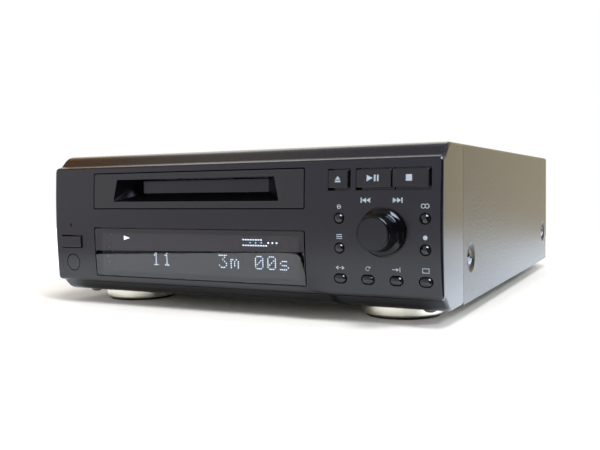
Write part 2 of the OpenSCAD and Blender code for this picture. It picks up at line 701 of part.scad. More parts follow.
module top_cover() color([0.2, 0.19, 0.19]) placed() difference() {
    union() {
        difference() {
            along_y([cover_y, body_d]) cover_section(0, 0);
            along_y([cover_y - 1, body_d + 1]) cover_section(cover_t, -1);
        }
        at_side_screws() translate([0, 0, cover_t - 0.01])
            cylinder(h = dimple_d + 0.01, r1 = dimple_r + 0.3, r2 = dimple_r - 1.2);
        // Lip turned down behind the rear panel's top edge
        block([3 - half_w, half_w - 3], [body_d - cover_t, body_d], [body_h - lip_h, body_h - 0.5]);
    }
    at_side_screws() {
        translate([0, 0, -0.01]) cylinder(h = dimple_d + 0.01, r1 = dimple_r, r2 = dimple_r - 1.8);
        cylinder(h = 5, r = cover_screw_r + 0.3);
    }
    for (x = [-lip_screw_x, lip_screw_x])
        rod_y(x, [body_d - 3, body_d + 1], body_h - lip_h / 2, m3_r + screw_fit);
}

module bottom_chassis() color([0.62, 0.62, 0.6]) placed() difference() {
    union() {
        block([-chassis_out, chassis_out], [chassis_front, flange_in + chassis_t], [0, chassis_t]);
        sides() block([chassis_in, chassis_out], [bezel_d + tongue_l + 0.5, flange_in], [0, wall_h]);
        block([1 - chassis_in, chassis_in - 1], [flange_in, flange_in + chassis_t],
            [0, flange_screw_z + head_r + 0.4]);
        for (p = board_posts) rod_z(p[0], p[1], [chassis_t - 0.1, board_z], standoff_r);
        sides() for (y = foot_y) rod_z(foot_x, y, [chassis_t - 0.1, 5], standoff_r);
    }
    at_side_screws() cylinder(h = 9, r = cover_screw_r + screw_fit);
    for (p = board_posts) rod_z(p[0], p[1], [-1, board_z + 1], m3_r + screw_fit);
    sides() for (y = foot_y) rod_z(foot_x, y, [-1, 6], m3_r + screw_fit);
    sides() rod_z(bezel_screw_x, bezel_screw_y, [-1, 3], m3_r + screw_fit);
    for (x = [-flange_screw_x, 0, flange_screw_x])
        rod_y(x, [flange_in - 1, flange_in + 3], flange_screw_z, m3_r + screw_fit);
    // Vent slots under the deck, the power supply and the main board
    for (i = [-5:5]) {
        vent_slot(panel_x + i * vent_pitch, [60, 88]);
        vent_slot(38 + i * vent_pitch, [150, 182]);
    }
    for (i = [-2:2])
        vent_slot(power_board_x[0] + 29 + i * vent_pitch, [power_board_y[0] + 12, power_board_y[1] - 8]);
}

module vent_slot(x, y) along_z([-1, chassis_t + 1])
    slot_line([x, y[0]], [x, y[1]], vent_w / 2);

module rear_panel() color([0.24, 0.24, 0.25]) placed() difference() {
    block([0.2 - chassis_out, chassis_out - 0.2], [rear_in, rear_out], [0.3, body_h - cover_t - 0.3]);
    for (x = [-lip_screw_x, lip_screw_x])
        rod_y(x, [rear_in - 1, rear_out + 1], body_h - lip_h / 2, m3_r + screw_fit);
    for (x = [-flange_screw_x, 0, flange_screw_x])
        rod_y(x, [rear_in - 1, rear_out + 1], flange_screw_z, m3_r + screw_fit);
    for (i = [0, 1], z = socket_z)
        rod_y(socket_x + i * socket_pitch, [rear_in - 1, rear_out + 1], z, barrel_r + 0.45);
    for (z = socket_z) block([port_x - 4.6, port_x + 4.6], [rear_in - 1, rear_out + 1], [z - 4.6, z + 4.6]);
    block([inlet_x - 10.3, inlet_x + 10.3], [rear_in - 1, rear_out + 1], [inlet_z - 5.7, inlet_z + 5.7]);
    for (i = [-4:4]) along_y([rear_in - 1, rear_out + 1])
        slot_line([i * vent_pitch - 12, 22], [i * vent_pitch - 12, 46], vent_w / 2);
}

// A turned foot: rounded rim, hollow underside with a screw seat
module foot(x, y) color([0.74, 0.71, 0.62]) placed() translate([x, y, 0]) rotate_extrude() difference() {
    polygon(concat([[m3_r + 0.3, 0], [foot_r - 0.5, 0], [foot_r, -0.5]],
        [for (a = [0:22.5:90]) [foot_r - foot_round * (1 - cos(a)), -foot_h + foot_round * (1 - sin(a))]],
        [[m3_r + 0.3, -foot_h]]));
    translate([-1, -foot_h - 1]) square([head_r + 2.1, foot_h - 1]);
    translate([foot_r - 6.5, -foot_h - 1]) square([5, 1.4]);
}
module foot_front_left() foot(-foot_x, foot_y[0]);
module foot_front_right() foot(foot_x, foot_y[0]);
module foot_rear_left() foot(-foot_x, foot_y[1]);
module foot_rear_right() foot(foot_x, foot_y[1]);
module foot_pads() color([0.08, 0.08, 0.08]) placed() sides() for (y = foot_y)
    translate([foot_x, y, 0]) rotate_extrude() translate([foot_r - 6.4, -foot_h - pad_t])
        square([4.8, pad_t + 0.38]);

// Pan-head screw, its seat at z = 0 and its head above, with a cross recess
module screw(r, l, hr = head_r, hh = head_h) difference() {
    union() {
        translate([0, 0, -l]) cylinder(h = l, r = r);
        intersection() {
            cylinder(h = hh, r = hr);
            translate([0, 0, hh - 1.6 * hr]) sphere(1.6 * hr);
        }
    }
    for (a = [0, 90]) rotate(a) translate([-hr * 0.55, -0.35, hh - 0.9]) cube([hr * 1.1, 0.7, 2]);
}

module cover_screws() color([0.3, 0.32, 0.36]) placed() sides() for (y = side_screw_y)
    translate([half_w - dimple_d, y, side_screw_z]) rotate([0, 90, 0])
        screw(cover_screw_r, 6, cover_head_r, cover_head_h);

module case_screws() color([0.15, 0.15, 0.16]) placed() {
    sides() for (y = foot_y) translate([foot_x, y, -2]) rotate([180, 0, 0]) screw(m3_r, case_screw_l);
    sides() translate([bezel_screw_x, bezel_screw_y, 0]) rotate([180, 0, 0]) screw(m3_r, case_screw_l);
    for (x = [-flange_screw_x, 0, flange_screw_x])
        translate([x, rear_out, flange_screw_z]) rotate([-90, 0, 0]) screw(m3_r, case_screw_l);
    for (x = [-lip_screw_x, lip_screw_x])
        translate([x, body_d, body_h - lip_h / 2]) rotate([-90, 0, 0]) screw(m3_r, case_screw_l);
}

module inner_screws() color([0.7, 0.66, 0.5]) {
    placed() {
        for (p = board_posts) translate([p[0], p[1], board_z + board_t]) screw(m3_r, inner_screw_l);
        for (b = front_bosses) translate([b[0], front_board_y + board_t, b[1]]) rotate([-90, 0, 0])
            screw(m3_r, inner_screw_l);
    }
    in_deck() for (x = [-ear_x, ear_x], y = ear_y) translate([x, y, deck_top]) screw(m3_r, inner_screw_l);
}

// Boards and electrical parts at the rear
cable_x = [half_w - 42, half_w - 18];
module screw_holes(posts, z) for (p = posts) rod_z(p[0], p[1], z, m3_r + 0.2);

module main_board() color([0.1, 0.32, 0.18]) placed() difference() {
    union() {
        block(main_board_x, main_board_y, [board_z, board_z + board_t]);
        chip(18, 168, 18, 2.2);
        chip(46, 172, 14, 2);
        chip(20, 200, 10, 2);
        chip(44, 202, 9, 3.4);
        chip(72, 196, 8, 2);
        block(cable_x, [main_board_y[0] + 1, main_board_y[0] + 6],
            [board_z + board_t - 0.1, board_z + board_t + 4]);
    }
    screw_holes(corners(main_board_x, main_board_y, 5), [board_z - 1, board_z + board_t + 1]);
}
module chip(x, y, half, h) block([x - half, x + half], [y - half * 0.8, y + half * 0.8],
    [board_z + board_t - 0.1, board_z + board_t + h]);

// Phono sockets and two optical ports on the main board's rear edge
module rear_sockets() color([0.5, 0.47, 0.4]) placed() {
    difference() {
        union() {
            block([socket_x - 7, socket_x + socket_pitch + 7], [rear_in - 14, rear_in - sheet_gap],
                [board_z + board_t, socket_z[1] + 7]);
            for (i = [0, 1], z = socket_z) {
                rod_y(socket_x + i * socket_pitch, [rear_in - 1, rear_out], z, barrel_r + 0.35);
                rod_y(socket_x + i * socket_pitch, [rear_out - 0.01, rear_out + barrel_l], z, barrel_r);
            }
        }
        for (i = [0, 1], z = socket_z)
            rod_y(socket_x + i * socket_pitch, [rear_in - 6, rear_out + barrel_l + 1], z, 1.6);
    }
    difference() {
        union() {
            block([port_x - 6, port_x + 6], [rear_in - 13, rear_in - sheet_gap],
                [board_z + board_t, socket_z[1] + 6]);
            for (z = socket_z) block([port_x - 4.3, port_x + 4.3], [rear_in - 1, rear_out + 0.8],
                [z - 4.3, z + 4.3]);
        }
        for (z = socket_z) block([port_x - 3, port_x + 3], [rear_in - 5, rear_out + 2], [z - 3, z + 3]);
    }
}

// Two-pin inlet: flange outside, body through the panel, a figure-of-eight recess
module mains_inlet() color([0.1, 0.1, 0.1]) placed() difference() {
    union() {
        along_y([rear_out, rear_out + 2])
            round_rect([inlet_x - 13, inlet_x + 13], [inlet_z - 8, inlet_z + 8], 2);
        block([inlet_x - 10, inlet_x + 10], [rear_in - 13, rear_out + 1], [inlet_z - 5.4, inlet_z + 5.4]);
    }
    difference() {
        along_y([rear_in - 9, rear_out + 3]) slot_line([inlet_x - 4.2, inlet_z], [inlet_x + 4.2, inlet_z], 4);
        for (s = [-1, 1]) rod_y(inlet_x + s * 4.2, [rear_in - 10, rear_out + 0.5], inlet_z, 1.2);
    }
}

module power_board() color([0.45, 0.33, 0.15]) placed() difference() {
    block(power_board_x, power_board_y, [board_z, board_z + board_t]);
    screw_holes(corners(power_board_x, power_board_y, 5), [board_z - 1, board_z + board_t + 1]);
}

// Filter capacitors, fuse in its clips, and a finned cooler with its regulators
module power_parts() color([0.12, 0.14, 0.22]) placed() translate([power_board_x[0], power_board_y[0],
    board_z + board_t]) {
    for (x = [16, 34]) rod_z(x, 32, [0, 25], 8);
    rod_z(49, 36, [0, 16], 5);
    for (x = [9, 25]) block([x, x + 3], [9, 15], [0, 7]);
    rod_x([7.5, 29.5], 12, 4.5, 2.5);
    block([32, 54], [4, 6], [0, 28]);
    for (i = [0:4]) block([32 + 5 * i, 34 + 5 * i], [5.9, 17], [0, 28]);
}

// Laminated core and bobbin held over the floor by a saddle with two feet
module power_transformer() color([0.33, 0.3, 0.28])
    placed() translate([transformer_x, transformer_y, chassis_t]) {
        block([-core_x, core_x], [-core_y, core_y], [core_gap, core_gap + core_h]);
        block([8 - core_x, core_x - 8], [-bobbin_y, bobbin_y], [core_gap + 5, core_gap + core_h - 5]);
        sides() {
            block([core_x - 0.1, core_x + 1.2], [-9, 9], [0, core_gap + core_h * 0.7]);
            block([core_x, core_x + 5], [-9, 9], [0, 1.2]);
        }
    }

// Flat cable in a long low hump from the front board's connector to the main board's
module flat_cable() color([0.75, 0.75, 0.72]) placed() {
    ends = [front_board_y + board_t + 5, main_board_y[0] + 1];
    span = ends[1] - ends[0];
    r = span;
    intersection() {
        translate([cable_x[0] + 2, (ends[0] + ends[1]) / 2, 13 - r * cos(30)]) rotate([0, 90, 0])
            rotate_extrude($fn = 200) translate([r, 0]) square([0.4, cable_x[1] - cable_x[0] - 4]);
        block(cable_x, ends, [12, 60]);
    }
}

// The deck that loads, turns, reads and writes the cartridge
module deck_chassis() color([0.68, 0.68, 0.66]) in_deck() difference() {
    union() {
        block([-wall_out, wall_out], deck_y, [deck_z, deck_top]);
        for (x = [-1, 1], y = ear_y) {
            block(x > 0 ? [wall_out - 1, ear_x] : [-ear_x, 1 - wall_out], [y - 6, y + 6], [deck_z, deck_top]);
            rod_z(x * ear_x, y, [deck_z, deck_top], 6);
        }
        sides() block([wall_in, wall_out], [deck_y[0] + 2, deck_y[1] - 2], [deck_z, deck_top + 17]);
        for (y = rod_y) block([-7, -5.8], [y - 3, y + 3], [deck_z, rod_z + 3]);
        rod_z(load_x, load_y, [deck_z, deck_top + 6.2], 1.5);
        rod_z(sled_gear_x, sled_gear_y, [deck_z, deck_top + 5], 1);
    }
    // Window for the pickup, and the way out for its arm
    block([lens_side, wall_in - 0.5], [rod_y[0] - 4, sled_rack_y - 1.4], [deck_z - 1, deck_top + 0.01]);
    block([wall_in - 2, wall_out + 1], [head_y[0] - 2, head_y[1] + 2], [deck_z - 1, deck_top + 6]);
    for (y = rod_y) rod_x([-9, wall_out + 1], y, rod_z, rod_r + 0.03);
    rod_z(0, spindle_y, [deck_z - 1, deck_top + 1], 3.4);
    rod_z(load_x - load_far, load_y, [deck_z - 1, deck_top + 1], 2.6);
    rod_z(sled_gear_x - sled_far, sled_gear_y, [deck_z - 1, deck_top + 1], 2.6);
    for (x = [-ear_x, ear_x], y = ear_y) rod_z(x, y, [deck_z - 1, deck_top + 1], m3_r + 0.2);
    // Upright slots that guide the holder's pins
    for (y = pin_y) along_x([-wall_out - 1, wall_out + 1])
        slot_line([y, pin_z - holder_drop - 0.3], [y, pin_z + 0.3], slot_r);
}

module deck_stand() color([0.6, 0.6, 0.58]) in_deck() sides() difference() {
    union() {
        block([ear_x - 8, ear_x + 5.6], stand_y, [chassis_t, chassis_t + plate_t]);
        block([ear_x + 4.4, ear_x + 5.6], stand_y, [chassis_t, stand_top]);
        block([ear_x - 5, ear_x + 5.6], stand_y, [stand_top - plate_t, stand_top]);
    }
    for (y = ear_y) rod_z(ear_x, y, [stand_top - 3, stand_top + 1], m3_r + screw_fit);
}

module deck_dampers() color([0.1, 0.1, 0.1]) in_deck() for (x = [-ear_x, ear_x], y = ear_y)
    translate([x, y, stand_top]) rotate_extrude() difference() {
        translate([m3_r + 0.2, 0]) square([damper_r - m3_r - 0.2, deck_z - stand_top]);
        translate([damper_r, (deck_z - stand_top) / 2]) circle(1);
    }

module cartridge_holder() color([0.72, 0.72, 0.7]) in_deck() difference() {
    union() {
        block([-holder_out, holder_out], holder_y, [holder_z, holder_ceiling + holder_t]);
        sides() for (y = pin_y) rod_x([holder_in + 0.2, wall_out + 0.4], y, pin_z, pin_r);
    }
    block([-holder_in, holder_in], [holder_y[0] - 1, holder_y[1] - holder_t],
        [holder_z + holder_t, holder_ceiling]);
    block([6 - holder_in, holder_in - 6], [holder_y[0] - 1, holder_y[1] + 1],
        [holder_z - 1, holder_z + holder_t + 0.1]);
    // Window for the magnetic head and its arm
    block([8, holder_out + 1], [spindle_y - 8, spindle_y + 8], [holder_z + 3.4, holder_ceiling + 2]);
}

// U-shaped slide: two cam plates with slanted slots, a cross member and a rack
module loading_slide() color([0.85, 0.84, 0.8]) in_deck() {
    low = pin_z - holder_drop - slot_r - 1.2;
    difference() {
        sides() block([slide_in, slide_out], [pin_y[0] - 14, 118], [low, pin_z + slot_r + 1.2]);
        for (y = pin_y) along_x([-slide_out - 1, slide_out + 1])
            slot_line([y, pin_z], [y - slide_travel, pin_z - holder_drop], slot_r);
    }
    block([-slide_out, slide_out], [108, 118], [low, low + 1.2]);
    block([slide_in, slide_out], [91, 117], [deck_top + 1.2, low + 0.1]);
    rack_span = [91, 111];
    along_z([deck_top + 1.2, deck_top + 3.2]) {
        polygon(rack_points(rack_m, load_y, rack_span, rack_x));
        translate([rack_x + root * rack_m, rack_span[0]])
            square([slide_out - rack_x - root * rack_m, rack_span[1] - rack_span[0]]);
    }
}

// Involute of an angle, in degrees
function involute(a) = tan(a) * 180 / PI - a;
// Half the angle that a tooth takes up at radius r, for n teeth of module m
function half_tooth(r, n, m) = let (base = m * n / 2 * cos(pressure), angle = acos(min(1, base / r)))
    (PI * m / 2 - backlash / 2) / (m * n) * 180 / PI + involute(pressure) - involute(angle);
function polar(r, a) = [r * cos(a), r * sin(a)];
// Outline of a spur gear with a tooth at angle 0
function gear_points(n, m) = let (p = m * n / 2, radii = [p - root * m, p - root * m * 0.4, p, p + stub * m])
    [for (t = [0:n - 1], s = [-1, 1], i = [0:3]) let (r = radii[s < 0 ? i : 3 - i])
        polar(r, t * 360 / n + s * half_tooth(r, n, m))];
// Outline of a rack along Y that meets a gear on its -X side, with a gap at y = mid
function rack_points(m, mid, span, x) = let (pitch = PI * m, half = (PI * m / 2 - backlash / 2) / 2,
    tip = half - stub * m * tan(pressure), foot = half + root * m * tan(pressure),
    first = ceil((span[0] + foot - mid) / pitch - 0.5), last = floor((span[1] - foot - mid) / pitch - 0.5))
    concat([[x + root * m + 0.1, span[0]], [x + root * m, span[0]]],
        [for (t = [first:last], c = [[-foot, root], [-tip, -stub], [tip, -stub], [foot, root]])
            [x + c[1] * m, mid + (t + 0.5) * pitch + c[0]]],
        [[x + root * m, span[1]], [x + root * m + 0.1, span[1]]]);

module loading_gear() color("white") in_deck() translate([load_x, load_y, 0]) difference() {
    union() {
        along_z([deck_top + 0.9, deck_top + 4]) polygon(gear_points(rack_teeth, rack_m));
        along_z([deck_top + 3.9, deck_top + 5.6]) polygon(gear_points(big_teeth, gear_m));
    }
    rod_z(0, 0, [deck_top, deck_top + 7], 1.5 + pin_fit);
}

module pinion(z_teeth, z_shaft, n) {
    along_z(z_teeth) rotate(180 / n) polygon(gear_points(n, gear_m));
    rod_z(0, 0, z_shaft, 1);
}

module loading_pinion() color("gold") in_deck() translate([load_x - load_far, load_y, 0])
    pinion([deck_top + 3.6, deck_top + 5.9], [deck_z - 10, deck_top + 6], pinion_teeth);

module small_motor() difference() {
    rod_z(0, 0, [deck_z - 16, deck_z], 6);
    rod_z(0, 0, [deck_z - 11, deck_z + 1], 1 + pin_fit);
}
module loading_motor() color("silver") in_deck() translate([load_x - load_far, load_y, 0]) small_motor();

module spindle_motor() color("silver") in_deck() translate([0, spindle_y, 0]) difference() {
    union() {
        rod_z(0, 0, [deck_z - 9, deck_z], 11);
        rod_z(0, 0, [deck_z - 1, deck_top + 2.4], 3.1);
    }
    rod_z(0, 0, [deck_z - 6, deck_top + 3], 0.8 + pin_fit);
}

module turntable() color([0.8, 0.8, 0.82]) in_deck() translate([0, spindle_y, 0]) {
    rod_z(0, 0, [deck_z - 5, deck_top + 4], 0.8);
    rod_z(0, 0, [deck_top + 3, deck_top + 5], 5.4);
    translate([0, 0, deck_top + 5]) cylinder(h = 3.6, r1 = 3.8, r2 = 2.4);
}

// Sled with the lens, its rack along X, and the arm that carries the magnetic head
module optical_pickup() color([0.25, 0.25, 0.28]) in_deck() {
    x = [track_r - lens_side, track_r + sled_side];
    rack_z = [deck_top + 3, deck_top + 4.8];
    difference() {
        block(x, [spindle_y - 17, spindle_y + 17], sled_z);
        for (y = rod_y) rod_x([x[0] - 1, x[1] + 1], y, rod_z, rod_r + pin_fit);
        rod_z(track_r, spindle_y, [sled_z[1] - 1.6, sled_z[1] + 1], 3);
    }
    rod_z(track_r, spindle_y, [sled_z[1] - 1.7, sled_z[1] - 0.6], 2.2);
    translate([track_r, spindle_y, sled_z[1] - 0.6]) cylinder(h = 0.9, r1 = 1.9, r2 = 1.3);
    block([x[0] + 3, x[1] - 2], [spindle_y + 16, sled_rack_y - root * gear_m - 0.5], rack_z);
    reach = [sled_gear_x - sled_travel - 3.6, sled_gear_x + 3];
    along_z(rack_z) rotate(-90) {
        polygon(rack_points(gear_m, sled_gear_x, reach, -sled_rack_y));
        translate([root * gear_m - sled_rack_y, reach[0]]) square([3, reach[1] - reach[0]]);
    }
    // Bracket under the cartridge and up its side, with two ears for the head's pin
    block([x[1] - 1, head_pivot[0] + 2], head_y, [deck_top + 1, deck_top + 4]);
    difference() {
        union() {
            block([head_pivot[0] - 2, head_pivot[0] + 2], head_y, [deck_top + 1, head_pivot[1] - 3]);
            for (y = [[head_y[0], head_y[0] + 1.6], [head_y[1] - 1.6, head_y[1]]])
                block([head_pivot[0] - 2, head_pivot[0] + 2], y, [head_pivot[1] - 3.1, head_pivot[1] + 2]);
        }
        rod_y(head_pivot[0], [head_y[0] - 1, head_y[1] + 1], head_pivot[1], head_pin_r + pin_fit);
    }
}

module guide_rods() color("silver") in_deck() for (y = rod_y) rod_x([-7, wall_out], y, rod_z, rod_r);

module sled_gear() color("white") in_deck() translate([sled_gear_x, sled_gear_y, 0]) difference() {
    union() {
        along_z([deck_top + 0.6, deck_top + 2]) polygon(gear_points(wheel_teeth, gear_m));
        along_z([deck_top + 1.9, deck_top + 4.8]) rotate(30) polygon(gear_points(sled_teeth, gear_m));
    }
    rod_z(0, 0, [deck_top, deck_top + 6], 1 + pin_fit);
}

module sled_pinion() color("gold") in_deck() translate([sled_gear_x - sled_far, sled_gear_y, 0])
    pinion([deck_top + 0.4, deck_top + 2.3], [deck_z - 10, deck_top + 2.4], worm_teeth);
module sled_motor() color("silver") in_deck()
    translate([sled_gear_x - sled_far, sled_gear_y, 0]) small_motor();

module magnetic_head() color([0.6, 0.6, 0.62]) in_deck() {
    mid = [head_y[0] + 1.9, head_y[1] - 1.9];
    rod_y(head_pivot[0], head_y, head_pivot[1], head_pin_r);
    rod_y(head_pivot[0], mid, head_pivot[1], 1.9);
    block([track_r - 2.5, head_pivot[0]], [mid[0] + 0.4, mid[1] - 0.4],
        [head_pivot[1] - 0.6, head_pivot[1] + 0.4]);
    block([track_r - 2, track_r + 2], [spindle_y - 1.5, spindle_y + 1.5],
        [head_pivot[1] - 2.6, head_pivot[1] - 0.5]);
}

top_cover();
bottom_chassis();
rear_panel();
front_bezel();
slot_panel();
display_window();
sensor_window();
power_button();
eject_button();
play_button();
stop_button();
edit_button();
set_button();
sync_button();
record_button();
scroll_button();
repeat_button();
input_button();
display_button();
jog_knob();
encoder_shaft();
rotary_encoder();
slot_flap();
flap_spring();
foot_front_left();
foot_front_right();
foot_rear_left();
foot_rear_right();
foot_pads();
cover_screws();
case_screws();
inner_screws();
front_board();
display_tube();
tact_switches();
standby_lamp();
main_board();
rear_sockets();
mains_inlet();
power_board();
power_parts();
power_transformer();
flat_cable();
deck_chassis();
deck_stand();
deck_dampers();
cartridge_holder();
loading_slide();
loading_gear();
loading_pinion();
loading_motor();
spindle_motor();
turntable();
optical_pickup();
guide_rods();
sled_gear();
sled_pinion();
sled_motor();
magnetic_head();
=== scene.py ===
import math

import bpy
from mathutils import Matrix, Vector


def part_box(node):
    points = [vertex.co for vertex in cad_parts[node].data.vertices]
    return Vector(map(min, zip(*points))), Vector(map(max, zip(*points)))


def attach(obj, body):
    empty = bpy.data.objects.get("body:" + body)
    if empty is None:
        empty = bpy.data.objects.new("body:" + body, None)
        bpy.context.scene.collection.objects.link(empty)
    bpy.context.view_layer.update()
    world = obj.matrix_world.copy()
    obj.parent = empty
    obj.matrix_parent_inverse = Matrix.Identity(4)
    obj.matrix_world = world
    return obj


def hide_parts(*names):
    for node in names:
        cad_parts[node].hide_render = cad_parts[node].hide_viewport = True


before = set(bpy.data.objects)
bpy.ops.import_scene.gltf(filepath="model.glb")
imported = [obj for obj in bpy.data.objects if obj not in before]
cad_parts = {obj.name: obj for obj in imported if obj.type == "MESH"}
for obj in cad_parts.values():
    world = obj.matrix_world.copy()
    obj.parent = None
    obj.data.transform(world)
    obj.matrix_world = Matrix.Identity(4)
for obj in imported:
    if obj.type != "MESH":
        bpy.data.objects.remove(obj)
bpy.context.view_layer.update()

mm = 0.001

# The picture is taken from low down and to the right, a little over 0.4 m from the face.
# The camera is fitted to the casing's corners, its feet and its side screws.
camera_data = bpy.data.cameras.new("photo_camera")
camera_data.sensor_width = 36
camera_data.lens = 44.03
camera = bpy.data.objects.new("photo_camera", camera_data)
bpy.context.scene.collection.objects.link(camera)
camera.matrix_world = Matrix((
    (0.8898, -0.0097, 0.4562, 0.1880),
    (0.4561, 0.0522, -0.8884, -0.4143),
    (-0.0152, 0.9986, 0.0509, 0.0588),
    (0, 0, 0, 1)))
bpy.context.scene.camera = camera
bpy.context.scene.view_settings.view_transform = "Standard"


# The camera sees plain white round the set, and matt surfaces get an even pale light. Polished
# ones mirror a room: a wall behind the recorder, brighter high up on the left, a dark side in
# front at the right with a bright high window, and a ceiling that is brown on the left.
class Shade:
    """A socket in a node tree. Sums, products and quotients written on it add Math nodes."""

    def __init__(self, tree, socket=None):
        self.tree = tree
        self.socket = socket

    def node(self, kind, settings=None, sockets=None, output=0):
        """Another node: its settings first, then the values or links of its sockets."""
        made = self.tree.nodes.new("ShaderNode" + kind)
        for name, value in (settings or {}).items():
            setattr(made, name, value)
        for name, value in (sockets or {}).items():
            if isinstance(value, Shade):
                self.tree.links.new(value.socket, made.inputs[name])
            else:
                made.inputs[name].default_value = value
        return Shade(self.tree, made.outputs[output])

    def other(self, output):
        """Another output of the same node."""
        return Shade(self.tree, self.socket.node.outputs[output])

    def math(self, operation, *values):
        return self.node("Math", {"operation": operation}, dict(enumerate(values)))

    def __add__(self, other):
        return self.math("ADD", self, other)

    def __mul__(self, other):
        return self.math("MULTIPLY", self, other)

    def __sub__(self, other):
        return self.math("SUBTRACT", self, other)

    def __rsub__(self, other):
        return self.math("SUBTRACT", other, self)

    def __truediv__(self, other):
        return self.math("DIVIDE", self, other)

    __radd__ = __add__
    __rmul__ = __mul__

    def larger(self, other):
        return self.math("MAXIMUM", self, other)

    def hypot(self, other):
        return self.math("POWER", self * self + other * other, 0.5)

    def away_from(self, centre):
        """How far this is from a value, on either side of it."""
        return self.math("ABSOLUTE", self - centre)

    def zigzag(self, width):
        """Rises from 0 to width and falls back to 0, again and again."""
        return self.math("PINGPONG", self, width)

    def step(self, low, high):
        """0 below low, 1 above high, smooth between them."""
        return self.node("MapRange", {"interpolation_type": "SMOOTHSTEP"},
                         {"Value": self, "From Min": low, "From Max": high})

    def blend(self, first, second):
        """A colour from first, where this is 0, to second, where it is 1."""
        return self.node("Mix", {"data_type": "RGBA"}, {0: self, 6: first, 7: second}, 2)


def rgb(red, green, blue):
    return (red, green, blue, 1)


world = bpy.data.worlds.new("studio")
bpy.context.scene.world = world
world.use_nodes = True
world.node_tree.nodes.clear()
air = Shade(world.node_tree)
east = air.node("SeparateXYZ", sockets={0: air.node("TexCoord", output="Generated")})
north = east.other(1)
height = east.other(2)
room = east.step(-0.75, -0.3).blend(rgb(1.08, 1.04, 1.12), rgb(0.82, 0.81, 0.92))
front = east.step(-0.02, 0.22).blend(room, rgb(0.02, 0.02, 0.025))
wall = height.step(-0.13, -0.06).blend(rgb(1.15, 1.15, 1.15), rgb(1.04, 0.9, 0.63))
ceiling = east.step(-0.69, -0.59).blend(rgb(0.6, 0.28, 0.04), rgb(0.74, 0.68, 0.55))
ceiling = east.step(-0.52, -0.4).blend(ceiling, rgb(0.52, 0.5, 0.49))
upper = height.step(0.34, 0.5) * (1 - east.step(-0.2, -0.1))
wall = upper.blend(wall, rgb(2.6, 2.5, 2.4))
around = north.step(0.35, 0.65).blend(front, wall)
mirrored = (height + east.step(-0.55, -0.68) * 0.2).step(0.64, 0.72).blend(around, ceiling)
window_light = east.step(0.08, 0.14) * (1 - east.step(0.66, 0.72))
window_light = window_light * height.step(0.58, 0.62) * (1 - north.step(-0.2, -0.12))
mirrored = window_light.blend(mirrored, rgb(20.0, 23.0, 28.0))
rays = air.node("LightPath", output="Is Glossy Ray")
ambient = rays.blend(rgb(0.56, 0.53, 0.46), mirrored)
seen = rays.other("Is Camera Ray").larger(rays.other("Is Transmission Ray"))
sky = air.node("Background", sockets={"Color": seen.blend(ambient, rgb(1, 1, 1))})
world_output = world.node_tree.nodes.new("ShaderNodeOutputWorld")
world.node_tree.links.new(sky.socket, world_output.inputs["Surface"])


# The sheet of paper lies flat. Polished surfaces mirror its slanting edge, a dark gap and the next
# sheet. For them alone a patch at the front right is painted black, a painted shade, and a strip
# beside the right side glows brighter, a painted light. Extra white takes it to the white of the
# picture, and fades near the recorder, where the shadow falls.
def finish_of(name, **values):
    """A new material, its first socket to build on, and its shader with these values set."""
    material = bpy.data.materials.new(name)
    material.use_nodes = True
    shader = material.node_tree.nodes["Principled BSDF"]
    for socket, value in values.items():
        shader.inputs[socket.replace("_", " ")].default_value = value
    return material, Shade(material.node_tree), shader


def feed(shader, **sockets):
    """Links what has been built to these sockets of a shader."""
    for name, value in sockets.items():
        value.tree.links.new(value.socket, shader.inputs[name.replace("_", " ")])


def noise_of(start, scale, detail=2.0, place=None):
    """A cloud of noise on the piece's own place, or on another one."""
    place = place or start.node("TexCoord", output="Object")
    return start.node("TexNoise", sockets={"Vector": place, "Scale": scale, "Detail": detail})


bpy.ops.mesh.primitive_plane_add(size=1)
sheet = bpy.context.object
sheet.name = "floor"
sheet.data.transform(Matrix.Translation((0, -0.225, 0)) @ Matrix.Diagonal((3, 1.35, 1, 1)))
paper, start, shader = finish_of("white_sheet", Roughness=0.9, Specular_IOR_Level=0.1)
place = start.node("TexCoord", output="Object")
fibres = noise_of(start, 9.0, 3.0, place)
across = start.node("SeparateXYZ", sockets={0: place})
behind = across.other(1)
sheet_left = -0.222
beyond = -0.233 - (across - sheet_left) * 0.35 - behind
beside = (across + 0.03) * 1.83 - 0.262 - behind
outside = beyond.math("SMOOTH_MAX", beyond, beside, 0.05).step(0, 0.0015)
next_sheet = beside.step(0.005, 0.0065) * (1 - beyond.step(-0.001, 0.001))
table = (-0.265 - (across - sheet_left) * 0.19 - behind).step(0, 0.002)
gap_and_painted_shade = outside * (1 - next_sheet) * (1 - table)
# Painted shade: a patch of floor at the front right is black for mirrored rays and gets no lift.
corner = across.step(0.11, 0.125) * (-0.125 - behind).step(0, 0.006)
gap_and_painted_shade = gap_and_painted_shade.larger(corner)
paths = start.node("LightPath", output="Is Camera Ray")
mirrored_ray = paths.other("Is Glossy Ray") * (1 - paths.other("Ray Depth").step(1.1, 1.4))
covered = across.away_from(0).step(0.115, 0.1) * behind.step(-0.15, -0.128)
covered = covered * behind.step(0.16, 0.13)
white = fibres.blend(rgb(0.86, 0.86, 0.86), rgb(0.9, 0.9, 0.89))
shown = (gap_and_painted_shade.larger(table) * mirrored_ray).blend(white, rgb(0.001, 0.001, 0.001))
feed(shader, Base_Color=shown)
clear = across.hypot(behind).step(0.1, 0.3).larger(across.step(0.106, 0.14))
clear = clear.larger((-0.138 - behind).step(0, 0.022))
seen_lift, mirrored_lift = 0.7, 0.8
lift = paths * clear * seen_lift + mirrored_ray * (1 - gap_and_painted_shade) * (1 - covered) * mirrored_lift
